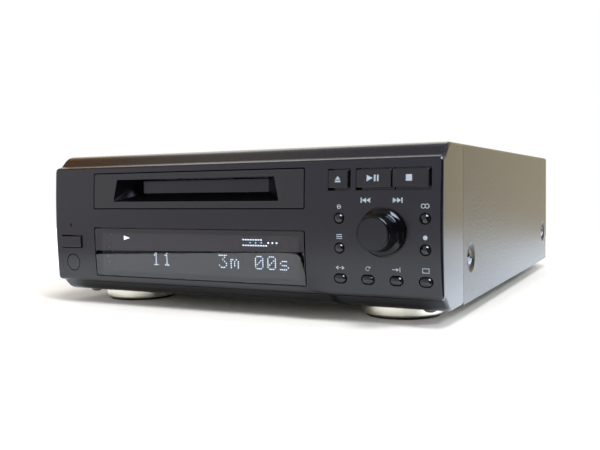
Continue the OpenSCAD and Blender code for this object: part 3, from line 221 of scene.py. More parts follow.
# Painted light: a strip beside the recorder's right side glows extra for mirrored rays.
painted_light_strip = across.step(0.09, 0.11) * across.step(0.2, 0.11)
lift = lift + mirrored_ray * (1 - corner) * painted_light_strip * mirrored_lift
tint = (mirrored_ray * (1 - table)).blend(rgb(1.15, 1.1, 1.2), rgb(0.86, 1.0, 1.2))
light = start.node("Emission", sockets={"Color": tint, "Strength": lift})
both = start.node("AddShader", sockets={0: light})
paper.node_tree.links.new(shader.outputs["BSDF"], both.socket.node.inputs[1])
paper.node_tree.links.new(both.socket, paper.node_tree.nodes["Material Output"].inputs["Surface"])
sheet.data.materials.append(paper)


# A wide soft light hangs over the recorder, and a smaller one to the right and in front throws
# the pale shadow on the left. Polished surfaces mirror neither of them, only the room's window.
def aimed(place, direction):
    """The matrix of a thing that stands at a place, with its z along a direction."""
    return Matrix.Translation(place) @ direction.to_track_quat("Z", "Y").to_matrix().to_4x4()


def lamp(name, towards, distance, size, power, colour):
    """A round lamp that shines on the origin, hidden from polished surfaces."""
    light = bpy.data.lights.new(name, "AREA")
    light.shape = "DISK"
    light.size = size
    light.energy = power
    light.color = colour
    holder = bpy.data.objects.new(name, light)
    bpy.context.scene.collection.objects.link(holder)
    aim = Vector(towards).normalized()
    holder.matrix_world = aimed(aim * distance, aim)
    holder.visible_glossy = False


lamp("ceiling_light", (0.24, -0.3, 1), 1.3, 0.4, 7.5, (1.0, 0.97, 0.9))
lamp("key_light", (0.675, -0.40, 0.62), 1.4, 0.22, 5.5, (0.88, 0.97, 1.08))


# The chassis is a tray of zinc plated steel sheet with vents and standoffs. Its plating is dull
# and slightly spangled, and the deck's own plates are of the same sheet.
def press(shader, pattern, depth):
    """Presses a pattern into the surface, to a depth in millimetres."""
    bump = {"Height": pattern, "Strength": 1, "Distance": depth * mm}
    feed(shader, Normal=pattern.node("Bump", sockets=bump))


def grain(start, shader, size, depth):
    """A fine uneven surface: noise of this grain size, pressed in to this depth, in millimetres."""
    noise = noise_of(start, 1 / (size * mm))
    press(shader, noise, depth)
    return noise


def dress(finish, *names):
    """Gives CAD nodes their finish."""
    for name in names:
        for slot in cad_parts[name].material_slots:
            slot.link = "OBJECT"
            slot.material = finish


plated, start, shader = finish_of("zinc_plated", Metallic=1)
spots = grain(start, shader, 0.5, 0.006)
place = start.node("TexCoord", output="Object")
crystals = start.node("TexVoronoi", sockets={"Vector": place, "Scale": 160.0}, output=1)
spangle = start.node("SeparateXYZ", sockets={0: crystals})
feed(shader, Base_Color=spangle.blend(rgb(0.52, 0.53, 0.53), rgb(0.66, 0.67, 0.66)),
     Roughness=0.3 + spots * 0.1 + spangle * 0.06)
dress(plated, "bottom_chassis", "deck_stand")


# The cover is one sheet of steel bent into a U and painted a dark satin brown-black with a
# pebbled grain. Its four screws sit in pressed dimples, and their heads are blued and polished.
def mottled(name, size, depth, first, second, *nodes, soft=False, **values):
    """A finish that wanders between two tones with its grain, sizes in millimetres, and is given
    to these nodes. soft makes the change between the tones gradual."""
    material, start, shader = finish_of(name, **values)
    spots = grain(start, shader, size, depth)
    tone = spots if soft else spots.step(0.3, 0.7)
    feed(shader, Base_Color=tone.blend(first, second))
    dress(material, *nodes)
    return material


cover_paint, start, shader = finish_of("cover_paint")
spots = grain(start, shader, 1.3, 0.19)
paint = spots.step(0.3, 0.7).blend(rgb(0.012, 0.011, 0.010), rgb(0.042, 0.038, 0.035))
feed(shader, Base_Color=paint, Roughness=0.28 + spots * 0.12)
dress(cover_paint, "top_cover")
mottled("blued_screw", 0.6, 0.004, rgb(0.16, 0.18, 0.22), rgb(0.26, 0.28, 0.33),
        "cover_screws", Metallic=1, Roughness=0.16)


# The rear panel is a flat sheet in matt black paint, with vents and cut-outs for the sockets.
# Black screws hold it through its edges.
mottled("rear_paint", 0.6, 0.05, rgb(0.022, 0.022, 0.023), rgb(0.045, 0.044, 0.044),
        "rear_panel", Roughness=0.42)
mottled("black_screw", 0.4, 0.006, rgb(0.08, 0.08, 0.09), rgb(0.14, 0.14, 0.15),
        "case_screws", Metallic=1, Roughness=0.32)


# The front is one moulding in dark blue-grey plastic, with a bowed face that stands forward of two
# narrow ledges, and shoulders that slope back to the top and the underside. It is screwed to the
# chassis from below, and the cover slides over its tongue. Its sizes are in millimetres.
moulding = mottled("grey_moulding", 0.25, 0.004, rgb(0.004, 0.004, 0.008), rgb(0.007, 0.007, 0.013),
                   Roughness=0.24)
low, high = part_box("front_bezel")
casing = Matrix.Translation((0, low[1], low[2]))
half_w = high[0] / mm
body_h = 71.0
bezel_d = 31.5
face_low, face_high = 7.0, 64.6
bow_r = 296.93
bow_z = (face_low + face_high) / 2
bend_d, bend_step = 2.6, 2.4
rounded = 1.4
shoulder_y, shoulder_h = 5, 5.4
shoulder_back = shoulder_y + shoulder_h
wall_t = 2.4
through = (-3, 9)
panel_x = (-78.15, 43.15)
key_x = (59.6, 72.3, 85.0, 97.7)
round_z = (26.7, 39.5)
oval_z, oval_stretch = 13.5, 0.85
left_x = -93.5
sensor_z = 15.6
knob_x, knob_z = 79.4, 33.8


def pick(*pieces):
    """Selects these pieces and no others, and makes the first one active."""
    bpy.ops.object.select_all(action="DESELECT")
    for piece in pieces:
        piece.select_set(True)
    bpy.context.view_layer.objects.active = pieces[0]


def block(name, low, high):
    """A block between two corners of the casing's own millimetres, as the start of a piece."""
    bpy.ops.mesh.primitive_cube_add(size=1)
    piece = bpy.context.object
    piece.name = name
    size = [(b - a) * mm for a, b in zip(low, high)]
    middle = [(b + a) / 2 * mm for a, b in zip(low, high)]
    piece.data.transform(Matrix.Translation(middle) @ Matrix.Diagonal((*size, 1)))
    return piece


def rod(name, start, end, radius, sides=48):
    """A cylinder between two points."""
    along = (Vector(end) - Vector(start)) * mm
    bpy.ops.mesh.primitive_cylinder_add(vertices=sides, radius=radius * mm, depth=along.length)
    piece = bpy.context.object
    piece.name = name
    piece.data.transform(aimed(Vector(start) * mm + along / 2, along))
    return piece


def edit(piece, faces=None, edges=None):
    """Opens a piece in edit mode with only these faces or edges selected."""
    pick(piece)
    bpy.ops.object.mode_set(mode="EDIT")
    bpy.ops.mesh.select_mode(type="FACE" if faces else "EDGE" if edges else "VERT")
    bpy.ops.mesh.select_all(action="SELECT" if not (faces or edges) else "DESELECT")
    if faces or edges:
        bpy.ops.object.mode_set(mode="OBJECT")
        for element in (piece.data.polygons if faces else piece.data.edges):
            if faces:
                element.select = faces(element.center / mm, element.normal)
            else:
                ends = [piece.data.vertices[v].co / mm for v in element.vertices]
                element.select = edges(*ends)
        bpy.ops.object.mode_set(mode="EDIT")


def done():
    bpy.ops.object.mode_set(mode="OBJECT")


def apply(piece, kind, **settings):
    """Adds one modifier and applies it."""
    pick(piece)
    modifier = piece.modifiers.new("work", kind)
    for name, value in settings.items():
        setattr(modifier, name, value)
    bpy.ops.object.modifier_apply(modifier=modifier.name)


def cut(piece, *tools, operation="DIFFERENCE"):
    """Takes tools away from a piece, or adds them to it, and removes them."""
    for tool in tools:
        apply(piece, "BOOLEAN", operation=operation, solver="EXACT", object=tool)
        bpy.data.objects.remove(tool)
    return piece


def join(*pieces):
    pick(*pieces)
    bpy.ops.object.join()
    return pieces[0]


def smooth(piece):
    pick(piece)
    bpy.ops.object.shade_smooth_by_angle(angle=math.radians(40))
    apply(piece, "WEIGHTED_NORMAL", keep_sharp=True)


def soften(piece, width, segments=2, angle=30):
    """Breaks the sharp edges, as every moulding and pressing has them."""
    apply(piece, "BEVEL", width=width * mm, segments=segments, limit_method="ANGLE",
          angle_limit=math.radians(angle), use_clamp_overlap=True)
    smooth(piece)


def seat(piece, finish, body, slot, *nodes):
    """Sets a finished piece down on the feet, with its finish, its body and what it stands for."""
    piece.data.transform(casing)
    piece.data.materials.clear()
    piece.data.materials.append(finish)
    if nodes:
        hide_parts(*nodes)
    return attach(piece, body)


def bisect(piece, point, normal):
    """Cuts away what lies beyond a plane and closes the cut."""
    edit(piece)
    bpy.ops.mesh.bisect(plane_co=Vector(point) * mm, plane_no=normal, use_fill=True, clear_outer=True)
    done()


def bow_y(z):
    """How far behind its foremost line the bowed face lies at a height."""
    return bow_r - math.sqrt(bow_r ** 2 - (z - bow_z) ** 2)


def bend(piece, proud=0.0):
    """Bends a flat front to the bow: level cuts, then every point moves back as the bow does at
    its height. The front gets the true curve's normals, so that it mirrors without ripples."""
    heights = [vertex.co.z / mm for vertex in piece.data.vertices if vertex.co.y / mm < bend_d]
    for step in range(1, 24):
        level = face_low + step * bend_step
        if min(heights) < level < max(heights):
            edit(piece, faces=lambda c, n: c.y < bend_d + 0.1)
            bpy.ops.mesh.bisect(plane_co=(0, 0, level * mm), plane_no=(0, 0, 1))
            done()
    mesh = piece.data
    front = {vertex.index for vertex in mesh.vertices if abs(vertex.co.y / mm + proud) < 0.002}
    for vertex in mesh.vertices:
        depth = min(1, max(0, 1 - vertex.co.y / mm / bend_d))
        vertex.co.y += bow_y(vertex.co.z / mm) * depth * mm
    smooth(piece)
    normals = [corner.vector.copy() for corner in mesh.corner_normals]
    for face in mesh.polygons:
        for corner in face.loop_indices:
            point = mesh.loops[corner].vertex_index
            rise = mesh.vertices[point].co.z / mm - bow_z
            true = Vector((0, -math.sqrt(bow_r ** 2 - rise ** 2), rise)).normalized()
            if point in front and face.normal.dot(true) > 0.7:
                normals[corner] = true
    mesh.normals_split_custom_set(normals)
    return piece


# Its shoulders slope back at 45 degrees and turn into the top and the underside in a wide round
bezel = block("bezel", (-half_w, shoulder_y, 0), (half_w, bezel_d, body_h))
for z, way in ((body_h, 1), (0, -1)):
    bisect(bezel, (0, shoulder_y, z - way * shoulder_h), (0, -1, way))
    edit(bezel, edges=lambda a, b: max(abs(a.z - z), abs(b.z - z)) < 0.01
         and max(abs(a.y - shoulder_back), abs(b.y - shoulder_back)) < 0.1)
    bpy.ops.mesh.bevel(offset=3.31 * mm, segments=8, affect="EDGES")
    done()
# Their ends are rounded where they meet the sides
edit(bezel, edges=lambda a, b: abs(abs(a.x) - half_w) < 0.01 and abs(a.x - b.x) < 0.01
     and 4.9 < min(a.y, b.y) < bezel_d - 0.1 and (abs(a.z - b.z) < 8 or a.y > 6))
bpy.ops.mesh.bevel(offset=rounded * mm, segments=4, affect="EDGES")
done()
# The face stands forward of the shoulders and is less high, which leaves the ledges. Its whole
# outline is rounded
edit(bezel, faces=lambda c, n: n.y < -0.99)
bpy.ops.mesh.extrude_region_move(TRANSFORM_OT_translate={"value": (0, -shoulder_y * mm, 0)})
bpy.ops.transform.resize(value=(1, 1, (face_high - face_low) / (body_h - 2 * shoulder_h)))
done()
edit(bezel, edges=lambda a, b: max(a.y, b.y) < 0.1)
bpy.ops.mesh.bevel(offset=(rounded - 0.1) * mm, segments=6, affect="EDGES")
done()


def round_corners(piece, radius, segments=4):
    """Rounds the edges that run from front to back."""
    edit(piece, edges=lambda a, b: abs(a.x - b.x) < 0.01 and abs(a.z - b.z) < 0.01)
    bpy.ops.mesh.bevel(offset=radius * mm, segments=segments, affect="EDGES")
    done()
    return piece


def hole(x, z, radius, y, stretch=0.0, sides=40):
    """A round cutter through the face, drawn out sideways for the oval keys."""
    tool = rod("hole", (x, y[0], z), (x, y[1], z), radius, sides)
    for vertex in tool.data.vertices:
        vertex.co.x += stretch * mm * (1 if vertex.co.x / mm > x + 0.001 else -1)
    return tool


face_t, floor_t = 3.8, 3.7
hollow = block("hollow", (wall_t - half_w, face_t, floor_t), (half_w - wall_t, 40, body_h - wall_t))
for z, way in ((body_h - wall_t, 1), (floor_t, -1)):
    bisect(hollow, (0, face_t, z - way * 6), (0, -1, way * 1.3))
cut(bezel, hollow, block("floor_cut", (-102.9, 15, -1), (102.9, 40, 1.3)),
    block("open_floor", (wall_t - half_w, 25.2, -1), (half_w - wall_t, 40, 5)))
cut(bezel,
    round_corners(block("slot_opening", (panel_x[0], -3, 43.3), (panel_x[1], 5, 61.6)), 0.9),
    round_corners(block("window_pocket", (panel_x[0], -3, 9.0), (panel_x[1], 2.6, 34.1)), 0.9),
    block("window_opening", (panel_x[0] + 4, 0, 11.9), (panel_x[1] - 4, 5, 31.2)),
    block("eject_opening", (54.4, -3, 51.3), (64.9, 9, 60.6)),
    block("play_opening", (67.3, -3, 51.3), (100.4, 9, 60.6)),
    block("power_opening", (left_x - 7.1, -3, 23.1), (left_x + 7.15, 9, 29.85)),
    hole(knob_x, knob_z, 10.6, (-3, 0.8), sides=96),
    hole(knob_x, knob_z, 4.9, through),
    hole(left_x, 35, 0.9, through, sides=24),
    hole(left_x, sensor_z, 4.45, through, sides=64))
for x in (key_x[0], key_x[3]):
    for z in round_z:
        cut(bezel, hole(x, z, 2.45, through))
for x in key_x:
    cut(bezel, hole(x, oval_z, 2.25, through, oval_stretch))
soften(bezel, 0.25)
# The tongue under the cover, and the bosses that take the board's and the chassis' screws
details = [block("tongue", (2.6 - half_w, bezel_d - 6, body_h - 2.5),
                 (half_w - 2.6, bezel_d + 4, body_h - 1.3))]
bore_r = 1.55
for x, z in ((left_x + 9.6, 38.4), (left_x + 9.6, 11.8), (48.7, 38.4), (49.7, 20), (90, 46.9),
             (91.4, 20.1)):
    details.append(cut(rod("boss", (x, 3.3, z), (x, 12, z), 3, 24),
                       rod("bore", (x, 4.5, z), (x, 13, z), bore_r, 16)))
for x in (11 - half_w, half_w - 11):
    details.append(cut(rod("boss", (x, 18.2, 1.3), (x, 18.2, 9.3), 3.3, 24),
                       rod("bore", (x, 18.2, 0), (x, 18.2, 8.5), bore_r, 16)))
for detail in details:
    detail.data.materials.clear()
join(bezel, *details)
bend(bezel)
seat(bezel, moulding, "housing", "grey_moulding", "front_bezel")


# The slot panel is a separate moulding in the same plastic, set in the face with a fine gap. Its
# mouth narrows like a funnel to the slot, and a box behind it guides the cartridge.
panel_mid = (panel_x[0] + panel_x[1]) / 2
plate_x = (panel_x[0] + 0.5, panel_x[1] - 0.5)
mouth_z, mouth_top, slot_z = 47.1, 58.0, 50.7
mouth_half, slot_half = 47.5, 37.2
mouth_lean = 2.3 / 10.9
funnel_d, frame_y, guide_t = 10.0, 14.0, 1.8
pin_y, pin_z = 11.5, 57.1
shade_from = 2.2


def funnel(name, wall, front, back):
    """The mouth's inner form, made larger all round by the thickness of its wall."""
    piece = block(name, (panel_mid - 1, front, mouth_z), (panel_mid + 1, back, mouth_top + wall))
    for vertex in piece.data.vertices:
        y = vertex.co.y / mm
        half = mouth_half + (slot_half - mouth_half) * y / funnel_d + wall
        vertex.co.x = (panel_mid + math.copysign(half, vertex.co.x / mm - panel_mid)) * mm
        if vertex.co.z / mm < mouth_top - 1:
            vertex.co.z = (mouth_z + (slot_z - mouth_z) * y / funnel_d - wall) * mm
    for way in (-1, 1):
        bisect(piece, (panel_mid + way * (mouth_half + wall), 0, mouth_z), (way, 0, mouth_lean))
    return piece


slot_panel = round_corners(block("slot_panel", (plate_x[0], 0, 43.8), (plate_x[1], 3.9, 61.1)), 0.7)
soften(slot_panel, 0.15)
cut(slot_panel, block("rim", (plate_x[0] - 2, 3.85, 42.2), (plate_x[1] + 2, 5.4, 62)),
    funnel("funnel_wall", guide_t, 0.9, funnel_d),
    block("box", (panel_mid - slot_half - guide_t, funnel_d - 0.01, slot_z - guide_t),
          (panel_mid + slot_half + guide_t, frame_y, mouth_top + guide_t)), operation="UNION")
cut(slot_panel, funnel("mouth", 0, -1, funnel_d),
    block("slot", (panel_mid - slot_half, funnel_d - 0.1, slot_z),
          (panel_mid + slot_half, frame_y + 1, mouth_top)),
    rod("pin_bore", (panel_mid - 41, pin_y, pin_z), (panel_mid + 41, pin_y, pin_z), 0.8, 20))
edit(slot_panel)
bpy.ops.mesh.remove_doubles(threshold=1e-5)
done()
edit(slot_panel, edges=lambda a, b: max(a.y, b.y) < 0.01
     and max(abs(a.x - panel_mid), abs(b.x - panel_mid)) < mouth_half + 0.5
     and mouth_z - 0.1 < min(a.z, b.z) and max(a.z, b.z) < mouth_top + 0.1)
bpy.ops.mesh.bevel(offset=0.15 * mm, segments=2, affect="EDGES")
done()
bend(slot_panel)
# The plate has the face's fine texture. The mouth behind it takes a darker, duller copy of the same plastic,
# a painted shade for the recess.
slot_plastic = mottled("slot_plastic", 0.25, 0.003, rgb(0.010, 0.010, 0.012), rgb(0.014, 0.014, 0.016),
                       soft=True, Roughness=0.26)
mouth_painted_shade = mottled("mouth_painted_shade", 0.25, 0.003, rgb(0.0015, 0.0015, 0.002), rgb(0.003, 0.003, 0.0035),
                      soft=True, Roughness=0.3, Specular_IOR_Level=0.06)
seat(slot_panel, slot_plastic, "housing", "slot_moulding", "slot_panel")
slot_panel.data.materials.append(mouth_painted_shade)
# The faces behind the plate and the mouth's walls get the painted shade.
for face in slot_panel.data.polygons:
    centre = (face.center - casing.translation) / mm
    in_mouth = abs(centre.x - panel_mid) < mouth_half + 1 and mouth_z - 0.5 < centre.z < mouth_top + 0.5
    face.material_index = int(centre.y > shade_from or abs(face.normal.y) < 0.9 and in_mouth)


# The flap closes the slot from inside: a flat moulded door with a round top edge. It turns on two
# pins at its ends, which sit in the walls of the panel's box.
slot_flap = block("slot_flap", (panel_mid - 36.9, 10.9, 51), (panel_mid + 36.9, 12.1, 57.7))
edit(slot_flap, edges=lambda a, b: min(a.z, b.z) > 57.6 and abs(a.y - b.y) < 0.01)
bpy.ops.mesh.bevel(offset=0.59 * mm, segments=6, affect="EDGES")
done()
soften(slot_flap, 0.12)
join(slot_flap, rod("pins", (panel_mid - 42.3, pin_y, pin_z), (panel_mid + 38.8, pin_y, pin_z), 0.7, 20))
seat(slot_flap, moulding, "slot_flap", "slot_moulding", "slot_flap")


# The display window is one sheet of smoked acrylic, bowed with the face and glued in its pocket.
# The remote control's receiver has a round window of dark plastic, pressed in from behind.
smoked = mottled("smoked_window", 6, 0.0004, rgb(0.28, 0.27, 0.31), rgb(0.32, 0.31, 0.35), soft=True,
                 Roughness=0.02, Transmission_Weight=1.0, IOR=1.6)
window = round_corners(block("display_window", (plate_x[0], 0, 9.5), (plate_x[1], 2.6, 33.6)), 0.7)
soften(window, 0.2)
bend(window)
seat(window, smoked, "housing", "smoked_window", "display_window")

sensor = rod("sensor_window", (left_x, 0, sensor_z), (left_x, 3.9, sensor_z), 4.1, 64)
cut(sensor, rod("flange", (left_x, 3.85, sensor_z), (left_x, 5, sensor_z), 5.5, 64), operation="UNION")
soften(sensor, 0.2)
bend(sensor)
sensor_plastic = mottled("sensor_plastic", 0.3, 0.002, rgb(0.009, 0.008, 0.012), rgb(0.013, 0.011, 0.017),
                         Roughness=0.2)
seat(sensor, sensor_plastic, "housing", "smoked_window", "sensor_window")


# The keys are moulded in dark plastic: each has a cap with bevelled edges that follows the bow,
# a lip that holds it behind the face, and a stem down to its switch.
keys = mottled("key_plastic", 0.25, 0.004, rgb(0.006, 0.006, 0.008), rgb(0.010, 0.010, 0.012),
               Roughness=0.2)
cap_back = 4.2
lip_y = (4.1, 5.1)
stem_end, stem_r = 9.4, 1.4
key_proud = 1.0


def large_key(name, x, z, proud, bevel, stem_x, lips):
    """A flat key, its cap pressed into the wall's opening from behind."""
    key = block(name, (x[0] + 0.05, -proud, z[0] + 0.05), (x[1] - 0.05, cap_back, z[1] - 0.05))
    round_corners(key, 0.5)
    edit(key, edges=lambda a, b: max(a.y, b.y) < 0)
    bpy.ops.mesh.bevel(offset=bevel * mm, segments=3, affect="EDGES")
    done()
    bend(key, proud)
    lip = block("lip", (x[0] - lips[0], lip_y[0], z[0] - 1.2), (x[1] + lips[1], lip_y[1], z[1] + 1.2))
    soften(lip, 0.15)
    middle = (z[0] + z[1]) / 2
    stem = rod("stem", (stem_x, 5, middle), (stem_x, stem_end, middle), stem_r, 24)
    soften(stem, 0.2)
    return join(key, lip, stem)


for name, x, stem_x, lips in (("eject_button", (54.9, 64.1), 59.5, (1.2, 1.2)),
                              ("play_button", (67.8, 83.5), 75.65, (1.2, 0)),
                              ("stop_button", (83.9, 99.6), 91.75, (0, 1.2))):
    seat(large_key(name, x, (52.4, 60.1), key_proud, 0.35, stem_x, lips), keys, name, "key_plastic", name)
seat(large_key("power_button", (-100.1, -86.9), (23.65, 29.35), key_proud, 0.4, left_x, (1.2, 1.2)),
     keys, "power_button", "key_plastic", "power_button")


# The small keys are glossy and domed, four of them round and four oval, and the room's window
# shows as a small light in each dome.
gloss = mottled("glossy_key", 0.4, 0.001, rgb(0.006, 0.006, 0.007), rgb(0.010, 0.010, 0.011),
                soft=True, Roughness=0.07)
dome_h, dome_step = 1.15, math.radians(10.6)


def domed_key(name, x, z, radius, stretch):
    """A small round or oval key: its front is drawn to a dome, then the whole is widened."""
    face = bow_y(z)
    key = rod(name, (x, face + 0.1, z), (x, cap_back, z), radius, 40)
    edit(key, faces=lambda c, n: n.y < -0.9)
    start = Vector((x, 0, z)) * mm
    last, forward = 1.0, 0.0
    for step in range(1, 9):
        size = math.cos(step * dome_step)
        height = dome_h * math.sin(step * dome_step)
        rise = (0, (forward - height) * mm, 0)
        bpy.ops.mesh.extrude_region_move(TRANSFORM_OT_translate={"value": rise})
        bpy.ops.transform.resize(value=(size / last, 1, size / last), center_override=start)
        last, forward = size, height
    done()
    lip = rod("lip", (x, lip_y[0], z), (x, lip_y[1], z), radius + 1.2, 40)
    stem = rod("stem", (x, 5, z), (x, stem_end, z), stem_r, 24)
    for part in (key, lip):
        for vertex in part.data.vertices:
            sideways = vertex.co.x / mm - x
            vertex.co.x += math.copysign(stretch * min(1, abs(sideways) / 0.1), sideways) * mm
    for part in (key, lip, stem):
        soften(part, 0.12, angle=50)
    return join(key, lip, stem)


for name, x, z in (("edit_button", key_x[0], round_z[1]), ("set_button", key_x[0], round_z[0]),
                   ("sync_button", key_x[3], round_z[1]), ("record_button", key_x[3], round_z[0])):
    seat(domed_key(name, x, z, 2.05, 0), gloss, name, "key_plastic", name)
for name, x in zip(("scroll_button", "repeat_button", "input_button", "display_button"), key_x):
    seat(domed_key(name, x, oval_z, 1.85, oval_stretch), gloss, name, "key_plastic", name)


# A vacuum fluorescent display stands behind the window: a flat glass tube with a black mask, and
# phosphor dots that glow pale cyan. The front of the tube is a few millimetres behind the window.
tube_y = 5.8
lit_y = (tube_y - 0.12, tube_y + 0.05)
dot_pitch, row_pitch, dot_size = 0.98, 0.94, 0.46
tube_glass = mottled("tube_glass", 3, 0.002, rgb(0.006, 0.007, 0.008), rgb(0.010, 0.011, 0.012),
                     soft=True, Roughness=0.12)
tube = block("display_tube", (panel_mid - 53, tube_y, 11.1), (panel_mid + 53, 12, 32))
soften(tube, 0.5)
seat(tube, tube_glass, "housing", "display_glass", "display_tube")

glow = mottled("phosphor", 0.2, 0.002, rgb(0.5, 0.62, 0.62), rgb(0.62, 0.74, 0.74), soft=True,
               Roughness=0.5, Emission_Color=rgb(0.72, 0.9, 1.0), Emission_Strength=6)
matrix = {"0": "01110 10001 10011 10101 11001 10001 01110",
          "1": "00100 01100 00100 00100 00100 00100 01110",
          "3": "11111 00010 00100 00010 00001 10001 01110",
          "m": "00000 00000 11010 10101 10101 10101 10001",
          "s": "00000 00000 01110 10000 01110 00001 11110"}


def dot(x, z, width, height):
    """One glowing dot of the display, a thin plate on the tube's front."""
    return block("dot", (x - width / 2, lit_y[0], z - height / 2), (x + width / 2, lit_y[1], z + height / 2))


segments = []
for sign, left in (("1", -44.9), ("1", -38.3), ("3", -5.5), ("m", 1.1), ("0", 14.4), ("0", 21.0),
                   ("s", 27.6)):
    for row, dots in enumerate(matrix[sign].split()):
        for column, is_lit in enumerate(dots):
            if is_lit == "1":
                segments.append(dot(left + 0.5 + column * dot_pitch, 21.5 - row * row_pitch,
                                    dot_size, dot_size))
for count, z in ((8, 29.1), (10, 26.5)):
    for i in range(count):
        segments.append(dot(8.6 + i * 1.36, z, 0.68, 0.6))
for x in (12.3, 15.3, 18.3, 21.9, 24.1, 26.3):
    segments.append(dot(x, 27.8, 0.7 if x > 20 else 0.5, 0.7 if x > 20 else 0.35))
arrow = block("arrow", (-62.5, lit_y[0], 27.6), (-58.8, lit_y[1], 29.8))
edit(arrow, faces=lambda c, n: n.x > 0.9)
bpy.ops.transform.resize(value=(1, 1, 0.02))
done()
segments.append(arrow)
display_glow = join(*segments)
display_glow.name = "display_glow"
seat(display_glow, glow, "housing", "display_glass")


# The signs on the front are printed in pale ink: a thin film that follows the bow. Each small key
# has a plain sign of its own above it, and there are no words.
ink = mottled("pale_ink", 0.15, 0.003, rgb(0.44, 0.52, 0.65), rgb(0.52, 0.61, 0.75), soft=True,
              Roughness=0.45)
film = 0.04


def printed(name, shapes, proud, body):
    """Prints flat outlines, each a list of (x, z) points, on the face or on a key's front."""
    mesh = bpy.data.meshes.new(name)
    piece = bpy.data.objects.new(name, mesh)
    bpy.context.scene.collection.objects.link(piece)
    points, faces = [], []
    for shape in shapes:
        faces.append(range(len(points), len(points) + len(shape)))
        points += [(x * mm, 0, z * mm) for x, z in shape]
    mesh.from_pydata(points, [], faces)
    edit(piece)
    bpy.ops.mesh.normals_make_consistent(inside=False)
    bpy.ops.mesh.extrude_region_move(TRANSFORM_OT_translate={"value": (0, film * mm, 0)})
    bpy.ops.mesh.select_all(action="SELECT")
    bpy.ops.mesh.normals_make_consistent(inside=False)
    done()
    for vertex in mesh.vertices:
        vertex.co.y += (bow_y(vertex.co.z / mm) - proud - film * 0.8) * mm
    return seat(piece, ink, body, "key_plastic")


def bar(x, z):
    """An upright rectangle between two x and two z."""
    return [(x[0], z[0]), (x[1], z[0]), (x[1], z[1]), (x[0], z[1])]


def arrow_to(tip, base, z):
    """A triangle that points left or right, from its base to its tip."""
    return [(tip, sum(z) / 2), (base, z[0]), (base, z[1])]


def ring(x, z, radius, width, start=0, end=360):
    """A ring, or the part of one between two angles, from twenty straight pieces."""
    angles = [math.radians(start + (end - start) * i / 20) for i in range(21)]
    inner = radius - width
    return [[(x + r * math.cos(a), z + r * math.sin(a))
             for a, r in ((a0, radius), (a1, radius), (a1, inner), (a0, inner))]
            for a0, a1 in zip(angles, angles[1:])]


printed("eject_sign", [[(59.34, 57.45), (58.1, 55.95), (60.58, 55.95)],
                       bar((58.1, 60.58), (54.85, 55.55))], key_proud, "eject_button")
play_z, back_z, on_z = (55.0, 57.7), (46.0, 48.2), (45.95, 48.15)
printed("play_sign", [arrow_to(75.34, 72.66, play_z), bar((75.85, 76.6), play_z),
                      bar((77.2, 77.95), play_z)], key_proud, "play_button")
printed("stop_sign", [bar((89.8, 92.4), (54.95, 57.6))], key_proud, "stop_button")
printed("skip_signs", [bar((69.6, 70.15), back_z), arrow_to(70.2, 72.05, back_z),
                       arrow_to(72.05, 73.9, back_z), arrow_to(85.72, 83.9, on_z),
                       arrow_to(87.55, 85.72, on_z), bar((87.6, 88.15), on_z)], 0, "housing")
dash_z = (18.05, 18.35)
signs = ring(97.7, 31.7, 0.95, 0.95)
signs += ring(96.9, 44.6, 1.0, 0.3) + ring(98.5, 44.6, 1.0, 0.3)
signs += ring(59.6, 44.4, 0.95, 0.28) + [bar((58.9, 60.3), (44.25, 44.55))]
signs += [bar((58.3, 60.9), (z, z + 0.32)) for z in (30.7, 31.5, 32.3)]
signs += [arrow_to(57.5, 58.8, (17.3, 19.1)), bar((59.2, 60.0), dash_z),
          arrow_to(61.7, 60.4, (17.3, 19.1))]
signs += ring(72.3, 18.2, 0.95, 0.28, 30, 330) + [arrow_to(73.9, 72.9, (18.2, 19.2))]
signs += [bar((83.2, 85.2), dash_z), arrow_to(86.2, 85.1, (17.5, 18.9)), bar((86.5, 86.8), (17.2, 19.2))]
signs += [bar((96.2, 99.2), z) for z in ((17.2, 17.45), (18.95, 19.2))]
signs += [bar(x, (17.45, 18.95)) for x in ((96.2, 96.45), (98.95, 99.2))]
printed("key_signs", signs, 0, "housing")


# The jog knob is turned smooth: a skirt in the face's dish, a slightly tapered grip, and a flat
# end with a rounded edge. It is pressed on the encoder's shaft.
def turned(name, profile, axis="Y", at=(0, 0), sides=96):
    """Spins a profile of (radius, height) points round an axis, closed where it meets the axis."""
    mesh = bpy.data.meshes.new(name)
    piece = bpy.data.objects.new(name, mesh)
    bpy.context.scene.collection.objects.link(piece)
    mesh.from_pydata([(radius * mm, 0, height * mm) for radius, height in profile],
                     [(i, i + 1) for i in range(len(profile) - 1)], [])
    edit(piece)
    bpy.ops.mesh.select_all(action="SELECT")
    bpy.ops.mesh.spin(steps=sides, angle=math.tau, center=(0, 0, 0), axis=(0, 0, 1))
    bpy.ops.mesh.select_all(action="SELECT")
    bpy.ops.mesh.remove_doubles(threshold=1e-6)
    bpy.ops.mesh.normals_make_consistent(inside=False)
    done()
    turn = Matrix.Rotation(math.radians(90), 4, "X") if axis == "Y" else Matrix()
    place = (at[0], 0, at[1]) if axis == "Y" else (at[0], at[1], 0)
    mesh.transform(Matrix.Translation(Vector(place) * mm) @ turn)
    return piece


def outer_round(radius, height, size):
    """The round from a flat end down to a side, on a profile."""
    return [(radius + size * math.sin(math.radians(a)), height + size * math.cos(math.radians(a)))
            for a in range(20, 91, 10)]


